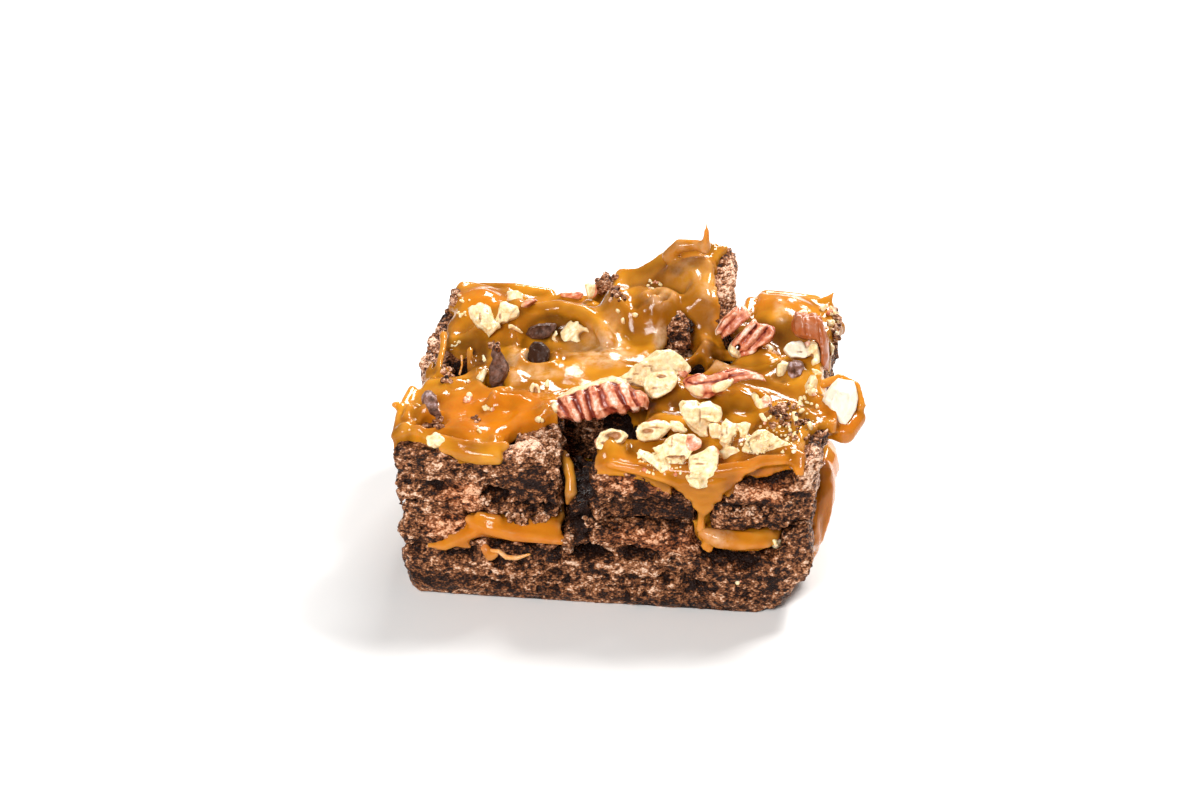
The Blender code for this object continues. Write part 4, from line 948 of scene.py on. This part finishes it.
def nut_material():
    """Pecan: red-brown wrinkled skin and cream flesh where it is broken, with painted shade in hollows and
    furrows and painted sheen on the pale ridges.
    """
    material, tree, shader, where = new_material("pecan")
    grain = speckle(tree, where, 0.7, 3.0, 0.65)
    broad = speckle(tree, where, 2.6)
    flesh = mixed(tree, field(tree, "white"), ramp(tree, grain, FLESH_TONES), (0.92, 0.86, 0.72))
    flesh = mixed(tree, ramp(tree, broad, [(0.58, 0.0), (0.74, 0.45)]), flesh, (0.72, 0.40, 0.13))
    flesh = mixed(tree, field(tree, "groove", 0.85), flesh, (0.36, 0.12, 0.035))
    height = weighed(tree, 0.77, (field(tree, "groove"), 0.0, -0.9), (broad, 0.5, 1.2), (grain, 0.5, 0.9))
    skin = mixed(tree, field(tree, "glazed"), ramp(tree, height, SKIN_TONES), (0.37, 0.086, 0.010))
    ragged = maths(tree, "MULTIPLY", maths(tree, "SUBTRACT", grain, 0.5), 0.7)
    edge = ramp(tree, maths(tree, "ADD", field(tree, "skin"), ragged), [(0.42, 0.0), (0.58, 1.0)])
    feed_all(
        tree, shader, Base_Color=mixed(tree, edge, flesh, skin), Roughness=0.3, Subsurface_Weight=0.22,
        Subsurface_Radius=(1.0, 0.6, 0.3), Subsurface_Scale=0.5 * MM,
        Normal=bump(tree, speckle(tree, where, 0.25), 0.03, Normal=bump(tree, grain, 0.06)),
    )
    return material


def chocolate_material():
    """Chocolate chips: near black, with a grey bloom and painted highlights in places."""
    material, tree, shader, where = new_material("chocolate")
    cloudy = ramp(tree, speckle(tree, where, 0.9, 3.0), [(0.35, 0.1), (0.65, 1.0)])
    bloom = maths(tree, "MULTIPLY", cloudy, field(tree, "bloom"))
    feed_all(
        tree, shader, Base_Color=ramp(tree, bloom, BLOOM_TONES), Roughness=0.42, Specular_IOR_Level=0.2,
        Normal=bump(tree, speckle(tree, where, 0.5, 3.0), 0.2),
    )
    return material


# Crumb.


def crevice(points):
    """Depth of the level crevices of the front face at each point, in millimetres."""
    depth = np.zeros(len(points))
    wave = 0.9 * swirl(points, 3.0, 5)
    for left, right, height, half, most in CREVICES:
        along = unit(np.minimum(points[:, 0] - left, right - points[:, 0]) / 1.2)
        level = np.exp(-(((points[:, 2] - height - wave) / half) ** 4))
        depth = np.maximum(depth, most * along * level)
    depth *= np.clip(0.75 + swirl(points, 2.2, 6), 0.2, 1.3)
    return depth * unit((FRONT_FACE + 6.0 - points[:, 1]) / 3.0)


def roughen_crumb(mesh, seed, floor):
    """Tears the smooth mesh into grains, clumps and pits."""
    points, normals = get_points(mesh), get_normals(mesh)
    flat = points * (1.0, 1.0, 1.35)
    front = unit((FRONT_FACE + 5.0 - points[:, 1]) / 3.0)
    calm = inside(points[:, 0], points[:, 2], CALM) * front
    near, second, _ = grains(flat, 2.7, seed)
    split = np.exp(-(((second - near) / 0.16) ** 2)) * unit(0.5 + 1.6 * swirl(points, 4.0, seed + 9))
    small, other, tone = grains(flat, 0.95, seed + 20)
    hole = np.clip(swirl(flat, 1.9, seed + 31) - 0.30, 0.0, 0.5) * 2.0
    wide = np.clip(swirl(flat, 4.5, seed + 37) - 0.32, 0.0, 0.5)
    lively = np.clip(0.75 + 0.9 * swirl(flat, 7.0, seed + 51), 0.3, 1.4)
    push = 0.22 * swirl(points, 5.0, seed + 41) + 0.50 * lively * (0.55 - small)
    push += 0.16 * swirl(points, 0.7, seed + 43)
    push -= 0.6 * split + lively * (1.2 * hole + 1.2 * wide)
    push *= 1.0 - 0.75 * calm
    extra = crevice(points)
    share = unit((points[:, 2] - floor) / 0.8)
    points += normals * (push * share)[:, None]
    points[:, 1] += extra * share
    sunk = np.zeros(len(points))
    for pit in PITS:
        sunk = np.maximum(sunk, pit[4] * unit((1.1 - oval(points[:, 0], points[:, 1], pit)) * 2.0))
    sunk *= unit((points[:, 2] - PITTED) / 4.0)
    points[:, 2] = np.maximum(points[:, 2] - sunk, floor)
    set_points(mesh, points)
    # The dark field is painted shade in the gaps between grains, the cracks, holes, crevices, pits and the
    # deep places, and a little darker tone on the fudgy patches, which is their own colour.
    gap = np.exp(-(((other - small) / 0.12) ** 2))
    dark = 0.6 * gap + 0.7 * split + 1.2 * hole + 0.9 * wide + 0.8 * np.clip(extra, 0.0, 1.6) + 0.25 * calm
    dark = np.clip(dark + 0.5 * sunk + 2.0 * zone(points, SHADED), 0.0, 2.4)
    red = inside(points[:, 0], points[:, 2], RED) * front
    set_fields(mesh, dark=dark, tone=tone * (1.0 - 0.6 * calm), red=red, pale=zone(points, PALE))


def make_crumb(frame, name, material, voxel, seed, floor):
    mesh = remesh(frame["nodes"][name].data.copy(), voxel, 6)
    roughen_crumb(mesh, seed, floor)
    return make_piece("torn_" + name, mesh, material, "crumb", name)


def make_crumb_lump(frame, material, seed):
    toward, thick, outline = CRUMB_LUMP
    depth = node_depth(frame, "crumb_lump") - toward
    mesh = shard_mesh([shard(outline, depth, thick, np.random.default_rng(seed))], LUMP_VOXEL)[0]
    roughen_crumb(mesh, seed, LUMP_FLOOR)
    return make_piece("torn_crumb_lump", mesh, material, "crumb", "crumb_lump")


# Caramel.


def spread_max(values, reach):
    """The highest value within reach cells, in a square round each cell."""
    for axis in (0, 1):
        pads = [(reach, reach) if k == axis else (0, 0) for k in (0, 1)]
        padded = np.pad(values, pads, mode="edge")
        size = values.shape[axis]
        values = np.max([np.take(padded, range(i, i + size), axis) for i in range(2 * reach + 1)], axis=0)
    return values


def blurred(values, times):
    for _ in range(times):
        p = np.pad(values, 1, mode="edge")
        values = (p[:-2, 1:-1] + p[2:, 1:-1] + p[1:-1, :-2] + p[1:-1, 2:] + 4 * values) / 8
    return values


def line_distance(x, y, line):
    """Distance of each grid point from a line of points."""
    least = np.full(x.shape, 99.0)
    for (ax, ay), (bx, by) in zip(line, line[1:]):
        dx, dy = bx - ax, by - ay
        t = unit(((x - ax) * dx + (y - ay) * dy) / (dx * dx + dy * dy))
        least = np.minimum(least, np.hypot(x - ax - t * dx, y - ay - t * dy))
    return least


def heights_of(tree, x, y):
    """The highest surface of the tree over each grid point, or 0 where there is none."""
    found = np.zeros(x.shape)
    for index in np.ndindex(x.shape):
        hit = tree.ray_cast(Vector((x[index], y[index], 60.0)), Vector((0.0, 0.0, -1.0)))[0]
        if hit is not None:
            found[index] = hit.z
    return found


def bare_distance(x, y):
    """How far each grid point is outside the bare spots, in millimetres."""
    edge = np.full(x.shape, 9.0)
    for spot in BARE_SPOTS:
        edge = np.minimum(edge, (oval(x, y, spot) - 1.0) * min(spot[2], spot[3]))
    return edge + (0.55 * flat_swirl(x, y, 3.2, 3) + 0.25 * flat_swirl(x, y, 1.2, 4))


def caramel_depth(x, y, edge):
    """How deep the caramel lies over the crumb at each grid point."""
    depth = np.full(x.shape, POURED_DEPTH)
    for spot in SWELLS:
        depth += spot[4] * (0.5 + 0.5 * np.cos(math.pi * unit(oval(x, y, spot))))
    for line, wide, high in FOLDS:
        depth += high * np.exp(-((line_distance(x, y, line) / wide) ** 2))
    ring = oval(x, y, HOOD)
    back = unit((y - HOOD[1] - 1.0) / 5.0) * unit((2.0 - x) / 4.0)
    depth += HOOD[4] * unit((ring - 0.9) / 0.14) * unit((2.3 - ring) / 0.9) * back
    depth -= 1.2 * unit((1.0 - ring) / 0.5) * unit((y - 4.0) / 4.0)
    for spot in ROUGH_SPOTS:
        depth += 1.7 * unit((1.2 - oval(x, y, spot)) * 2.0) * (0.4 + flat_swirl(x, y, 1.7, 21))
    depth -= 1.5 * unit((-24.4 - y) / 3.5) ** 2
    depth *= 0.4 + 0.6 * unit(edge / 1.6)
    return depth + 0.3 * np.exp(-(((edge - 1.2) / 0.7) ** 2))


def caramel_heights(frame, nuts):
    """The grid, the caramel's top and bottom heights on it, and where there is caramel."""
    tree = tree_of([frame["nodes"][name].data for name in CHUNKS])
    x, y = np.meshgrid(np.arange(*GRID_X, GRID), np.arange(*GRID_Y, GRID), indexing="ij")
    found = heights_of(tree, x, y)
    closed = -spread_max(-spread_max(found, 5), 5)
    there = (closed > POURED_OVER) & (np.abs(y) < POURED_TO)
    skin = blurred(np.where(there, np.maximum(closed, found), 24.0), 12)
    skin = np.maximum(skin, blurred(found, 4) + 0.2)
    edge = bare_distance(x, y)
    waves = 0.38 * flat_swirl(x, y, 6.5, 8) + 0.11 * flat_swirl(x, y, 2.8, 12)
    waves += 0.02 * flat_swirl(x, y, 1.2, 14)
    top = skin + np.maximum(caramel_depth(x, y, edge) + waves, 0.45)
    proud = (heights_of(nuts, x, y) > top + 0.15).astype(float)
    top = top + 0.75 * blurred(unit(blurred(proud, 6) * 2.0), 4)
    bottom = np.where(found > 0.0, np.minimum(found - 1.0, top - 1.6), top - 2.0)
    return x, y, top, bottom, there & (edge > 0.0)


def sheet_mesh(x, y, top, bottom, covered):
    """A closed sheet between two heights over the covered cells."""
    cells = covered[:-1, :-1] & covered[1:, :-1] & covered[1:, 1:] & covered[:-1, 1:]
    count = x.size
    index = np.arange(count).reshape(x.shape)
    points = np.concatenate([np.stack([x, y, z], axis=2).reshape(-1, 3) for z in (top, bottom)])
    faces = []
    padded = np.pad(cells, 1)
    for i, j in zip(*np.nonzero(cells)):
        a, b, c, d = index[i, j], index[i + 1, j], index[i + 1, j + 1], index[i, j + 1]
        faces.append((a, b, c, d))
        faces.append((d + count, c + count, b + count, a + count))
        sides = [(a, b, i + 1, j), (b, c, i + 2, j + 1), (c, d, i + 1, j + 2), (d, a, i, j + 1)]
        for m, n, row, column in sides:
            if not padded[row, column]:
                faces.append((m + count, n + count, n, m))
    return new_mesh("sheet", points, faces)


def shade_caramel(mesh, crumb_tree):
    """Stores where the caramel is thin, where the crumb lies close under it, and its patches of colour,
    painted shade and painted sheen.
    """
    own = tree_of([mesh])
    points, normals = get_points(mesh), get_normals(mesh)
    thin, shallow = np.zeros((2, len(points)))
    for i, (point, normal) in enumerate(zip(points.tolist(), normals.tolist())):
        inward = -Vector(normal)
        start = Vector(point) + inward * 0.15
        through = own.ray_cast(start, inward, 5.0)[3]
        crumb = crumb_tree.ray_cast(start, inward, 4.0)[3]
        if crumb is not None:
            shallow[i] = max(0.0, 1.0 - crumb / 1.3)
        elif through is not None:
            thin[i] = max(0.0, 1.0 - through / 2.8)
    # Hollows are browned and kept from the milky tint while ridges stay paler: painted shade.
    sunk = averaged(mesh, hollows(mesh, 10), 3)
    set_fields(
        mesh, thin=averaged(mesh, thin, 4), shallow=averaged(mesh, shallow * 0.8, 5),
        milky=unit(zone(points, MILKY) - 0.9 * sunk - 0.04),
        browned=unit(zone(points, BROWNED) + 3.0 * sunk - 0.04), orange=zone(points, ORANGE),
    )


def flowing(start, lines, voxel, times):
    """A skin round the mesh to start with, if any, and runs of balls along the lines."""
    bm = bmesh.new()
    if start is not None:
        bm.from_mesh(start)
        bmesh.ops.delete(bm, geom=[v for v in bm.verts if not v.link_faces], context="VERTS")
    for line in lines:
        add_run(bm, line)
    return remesh(mesh_of(bm, "runs"), voxel, times)


def make_caramel(name, mesh, material, crumb_tree, node_name):
    shade_caramel(mesh, crumb_tree)
    return make_piece(name, mesh, material, "caramel", node_name)


def make_threads(material):
    mesh = flowing(None, THREADS, THREAD_VOXEL, 4)
    set_fields(mesh, thin=1.0, milky=0.9)
    return make_piece("caramel_threads", mesh, material, "caramel")


# Nuts and chips.


def shard(outline, depth, thick, rng, uneven=1.0):
    """Points and faces of a broken piece with that outline on the photograph, thickest inside its rim."""
    flat = from_photo(outline, depth)
    middle = flat.mean(axis=0)
    tilt = uneven * rng.uniform(-0.3, 0.3, 2)
    reach = np.abs(flat - middle).max(axis=0)
    rings = []
    for level, size in SHARD_LAYERS:
        shift = uneven * reach * rng.uniform(-0.9, 0.9, 3) * (1.0 - size)
        ring = middle + (flat - middle) * size + shift + rng.normal(0.0, 0.06, flat.shape)
        lean = ((ring - middle) @ VIEW[:2].T) @ tilt + uneven * rng.normal(0.0, 0.07 * thick, len(flat))
        rings.append(ring + VIEW[2] * (level * thick / 2.0 + lean)[:, None])
    count, steps = len(flat), len(SHARD_LAYERS) - 1
    faces = [tuple(range(count)), tuple(reversed(range(steps * count, (steps + 1) * count)))]
    for row, k in itertools.product(range(steps), range(count)):
        a, b = row * count + k, row * count + (k + 1) % count
        faces.append((a, a + count, b + count, b))
    return np.concatenate(rings), faces


def node_depth(frame, name):
    """How far the middle of the node is in front of the camera."""
    corners = get_points(frame["nodes"][name].data)
    return float((EYE - (corners.min(0) + corners.max(0)) / 2.0) @ VIEW[2])


def shard_mesh(shards, voxel):
    """One closed mesh round all the shards, and the number of the shard that each of its vertices is from."""
    faces, start = [], 0
    for ring, sides in shards:
        faces += [tuple(index + start for index in side) for side in sides]
        start += len(ring)
    mesh = remesh(new_mesh("shards", np.concatenate([ring for ring, _ in shards]), faces), voxel, 2)
    trees = [BVHTree.FromPolygons(ring.tolist(), sides) for ring, sides in shards]
    owner = [np.argmin([tree.find_nearest(Vector(point))[3] for tree in trees]) for point in get_points(mesh)]
    return mesh, np.array(owner)


def dent(mesh, holes):
    """Presses hollows into the side that faces the camera, and returns how deep each vertex is in one."""
    points = get_points(mesh)
    facing = unit(get_normals(mesh) @ VIEW[2] * 3.0)
    column, row = to_photo(points)
    marked = np.zeros(len(points))
    for hole in holes:
        share = unit((1.25 - oval(column, row, hole)) * 1.6) * facing
        points -= VIEW[2] * (share * hole[4])[:, None]
        marked = np.maximum(marked, share)
    set_points(mesh, points)
    return marked


def wrinkles(points, slope, ribs, seed):
    """How deep each point lies in the furrows of a pecan's skin, which run at that slope on the photo."""
    lean = math.radians(slope)
    along = math.cos(lean) * VIEW[0] + math.sin(lean) * VIEW[1]
    drawn = points - 0.8 * np.outer(points @ along, along)
    fine = unit(0.6 - np.abs(swirl(drawn, 1.9, seed + 4)) * 2.4)
    if not ribs:
        return fine
    across = np.cross(along, VIEW[2])
    turn = (points @ across) * ribs + 0.42 * swirl(points, 3.6, seed + 5)
    turn += 0.08 * swirl(points, 1.4, seed + 6)
    return np.maximum(0.4 * fine, unit(0.35 + 0.8 * np.cos(2.0 * math.pi * turn)))


def make_shards(name, parts, holes, depth, material, slot, seed, skinned=None, nodes=()):
    """A broken nut or pecan piece, from shards run together."""
    rng = np.random.default_rng(seed)
    uneven = 1.0 if skinned is None else 0.25
    shards = [shard(outline, depth - toward, thick, rng, uneven) for _, toward, thick, _, outline in parts]
    mesh, owner = shard_mesh(shards, NUT_VOXEL)
    marked = dent(mesh, holes)
    points, normals = get_points(mesh), get_normals(mesh)
    skin, grit = [averaged(mesh, np.array([part[k] for part in parts])[owner], 3) for k in (0, 3)]
    push = grit * (swirl(points, 1.2, seed) + 0.6 * swirl(points, 0.55, seed + 1))
    push += 0.12 * swirl(points, 2.6, seed + 2)
    furrow = np.zeros(len(points)) if skinned is None else wrinkles(points, *skinned, seed) * unit(skin)
    push_out(mesh, push - 0.46 * furrow)
    rim = unit(0.9 - np.abs(normals @ VIEW[2]) * 1.5) * np.clip(swirl(points, 2.0, seed + 9) * 3.0, 0.0, 0.8)
    # The groove field darkens hollows and furrows, which is painted shade, and the brown marks and rims,
    # which are the nut's own colour.
    set_fields(
        mesh, white=unit(-skin), glazed=unit(skin - 1.0),
        skin=unit(skin + 0.2 * swirl(points, 1.4, seed + 7)),
        groove=unit(hollows(mesh, 5) * 6.0 + marked + 0.45 * furrow + rim),
    )
    return make_piece(name, mesh, material, slot, *nodes)


def make_chip(frame, name, bloom, thick, outline, material, seed):
    made = shard(outline, node_depth(frame, name), thick, np.random.default_rng(seed))
    mesh = shard_mesh([made], NUT_VOXEL)[0]
    points = get_points(mesh)
    push_out(mesh, 0.22 * swirl(points, 1.3, seed) + 0.14 * swirl(points, 0.6, seed + 1))
    set_fields(mesh, bloom=bloom)
    return make_piece("dark_" + name, mesh, material, "chocolate", name)


def make_slivers(material, target, seed):
    """Small shards, each one laid on what is seen at its middle on the photograph or under it."""
    parts = []
    for skin, thick, grit, outline in SLIVERS:
        column, row = np.mean(outline, axis=0)
        place = None
        while place is None:
            place = seen_along(target, from_photo([(column, row)], 1.0)[0] - EYE)[0]
            row += 1.0
        depth = float((EYE - np.array(place)) @ VIEW[2]) - 0.25 * thick
        parts.append((skin, -depth, thick, grit, outline))
    return make_shards("nut_slivers", parts, SLIVER_HOLES, 0.0, material, "nut_flesh", seed)


def make_bits(name, table, material, slot, target, seed):
    """Small broken bits, each one laid on what the photograph shows at its place."""
    rng = np.random.default_rng(seed)
    bm = bmesh.new()
    for column, row, wide, high, count, small, large in table:
        for _ in range(count):
            px = column + wide * rng.uniform(-1.0, 1.0)
            py = row + high * rng.uniform(-1.0, 1.0)
            size = rng.uniform(small, large)
            radii = size * rng.uniform(0.7, 1.25, 3)
            turn = Matrix.Rotation(rng.uniform(0.0, 6.0), 3, Vector(rng.normal(size=3))).to_quaternion()
            ray = (px - PHOTO_WIDTH / 2) * VIEW[0] - (py - PHOTO_HEIGHT / 2) * VIEW[1] - VIEW[2] * FOCAL
            place, normal = seen_along(target, ray)
            if place is not None:
                add_ball(bm, place + normal * size * 0.3, radii, turn)
    mesh = mesh_of(bm, name)
    points = get_points(mesh)
    push_out(mesh, 0.10 * swirl(points, 0.45, seed) + 0.06 * swirl(points, 0.25, seed + 1))
    skin = unit(1.3 * swirl(points, 1.2, seed + 2) - 0.2)
    set_fields(mesh, skin=skin, tone=0.5 + 0.5 * swirl(points, 0.8, seed + 3))
    return make_piece(name, mesh, material, slot)


# Stage.


def make_stage():
    corners = [(x * FLOOR_HALF, y * FLOOR_HALF, 0.0) for x, y in ((-1, -1), (1, -1), (1, 1), (-1, 1))]
    material, tree, shader, _ = new_material("floor")
    feed_all(tree, shader, Base_Color=(0.86, 0.86, 0.86), Roughness=0.9)
    make_object("floor", new_mesh("floor", corners, [(0, 1, 2, 3)]), material)
    world = bpy.data.worlds.new("room")
    world.use_nodes = True
    feed_all(world.node_tree, world.node_tree.nodes["Background"], Color=(1.0, 1.0, 1.0), Strength=0.2)
    bpy.context.scene.world = world
    for name, place, size, power, colour in LIGHTS:
        light = bpy.data.lights.new(name, "AREA")
        light.size = size * MM
        light.energy = power
        light.color = colour
        obj = link(bpy.data.objects.new(name, light))
        obj.location = Vector(place) * MM
        obj.rotation_euler = (Vector(LIT) - Vector(place)).to_track_quat("-Z", "Y").to_euler()


def make_camera():
    data = bpy.data.cameras.new("camera")
    data.lens = CAMERA["lens"]
    data.sensor_width = SENSOR
    data.clip_start, data.clip_end = 0.01, 20.0
    obj = link(bpy.data.objects.new("camera", data))
    obj.location = Vector(EYE) * MM
    obj.rotation_euler = (-Vector(VIEW[2])).to_track_quat("-Z", "Y").to_euler()
    bpy.context.scene.camera = obj


def make_nuts(frame, nut, chocolate):
    """The pecan pieces, the broken nuts and the chips."""
    made = []

    def add(word, name, parts, holes, slot, seed, skinned=None):
        depth = node_depth(frame, name)
        made.append(make_shards(word + name, parts, holes, depth, nut, slot, seed, skinned, [name]))

    for i, (name, (parts, skinned)) in enumerate(PECAN_PARTS.items()):
        add("halved_", name, parts, [], "pecan_skin", PECAN_SEED + 10 * i, skinned)
    for i, (name, (parts, holes)) in enumerate(NUTS.items()):
        add("broken_", name, parts, holes, "nut_flesh", NUT_SEED + 10 * i)
    for i, (name, facts) in enumerate(CHIPS.items()):
        made.append(make_chip(frame, name, *facts, chocolate, CHIP_SEED + 10 * i))
    return made


def main():
    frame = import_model()
    make_camera()
    make_stage()
    bpy.context.scene.view_settings.view_transform = "Standard"

    crumb, caramel = crumb_material(), caramel_material()
    nut, chocolate = nut_material(), chocolate_material()
    torn = [make_crumb(frame, "brownie_base", crumb, BASE_VOXEL, BASE_SEED, BASE_FLOOR)]
    for i, name in enumerate(CHUNKS):
        voxel = HIDDEN_VOXEL if name == "chunk_centre" else CHUNK_VOXEL
        torn.append(make_crumb(frame, name, crumb, voxel, CHUNK_SEED + 50 * i, CHUNK_FLOOR))
    torn.append(make_crumb_lump(frame, crumb, LUMP_SEED))
    nuts = make_nuts(frame, nut, chocolate)
    crumb_tree = tree_of([frame["nodes"][name].data for name in ["brownie_base", *CHUNKS]])
    sheet = sheet_mesh(*caramel_heights(frame, tree_of([obj.data for obj in nuts])))
    topping = flowing(sheet, DRAPES, CARAMEL_VOXEL, 9)
    filling = flowing(frame["nodes"]["caramel_filling"].data, FILLING_RUNS, FILLING_VOXEL, 8)
    poured = [
        make_caramel("poured_caramel", topping, caramel, crumb_tree, "caramel_topping"),
        make_caramel("caramel_between", filling, caramel, crumb_tree, "caramel_filling"),
    ]
    make_threads(caramel)
    target = tree_of([obj.data for obj in torn + nuts + poured])
    nuts.append(make_slivers(nut, target, SLIVER_SEED))
    target = tree_of([obj.data for obj in torn + nuts + poured])
    make_bits("chopped_nuts", NUT_BITS, nut, "nut_flesh", target, NUT_BITS_SEED)
    make_bits("loose_crumbs", CRUMB_BITS, crumb, "crumb", target, CRUMB_BITS_SEED)


main()
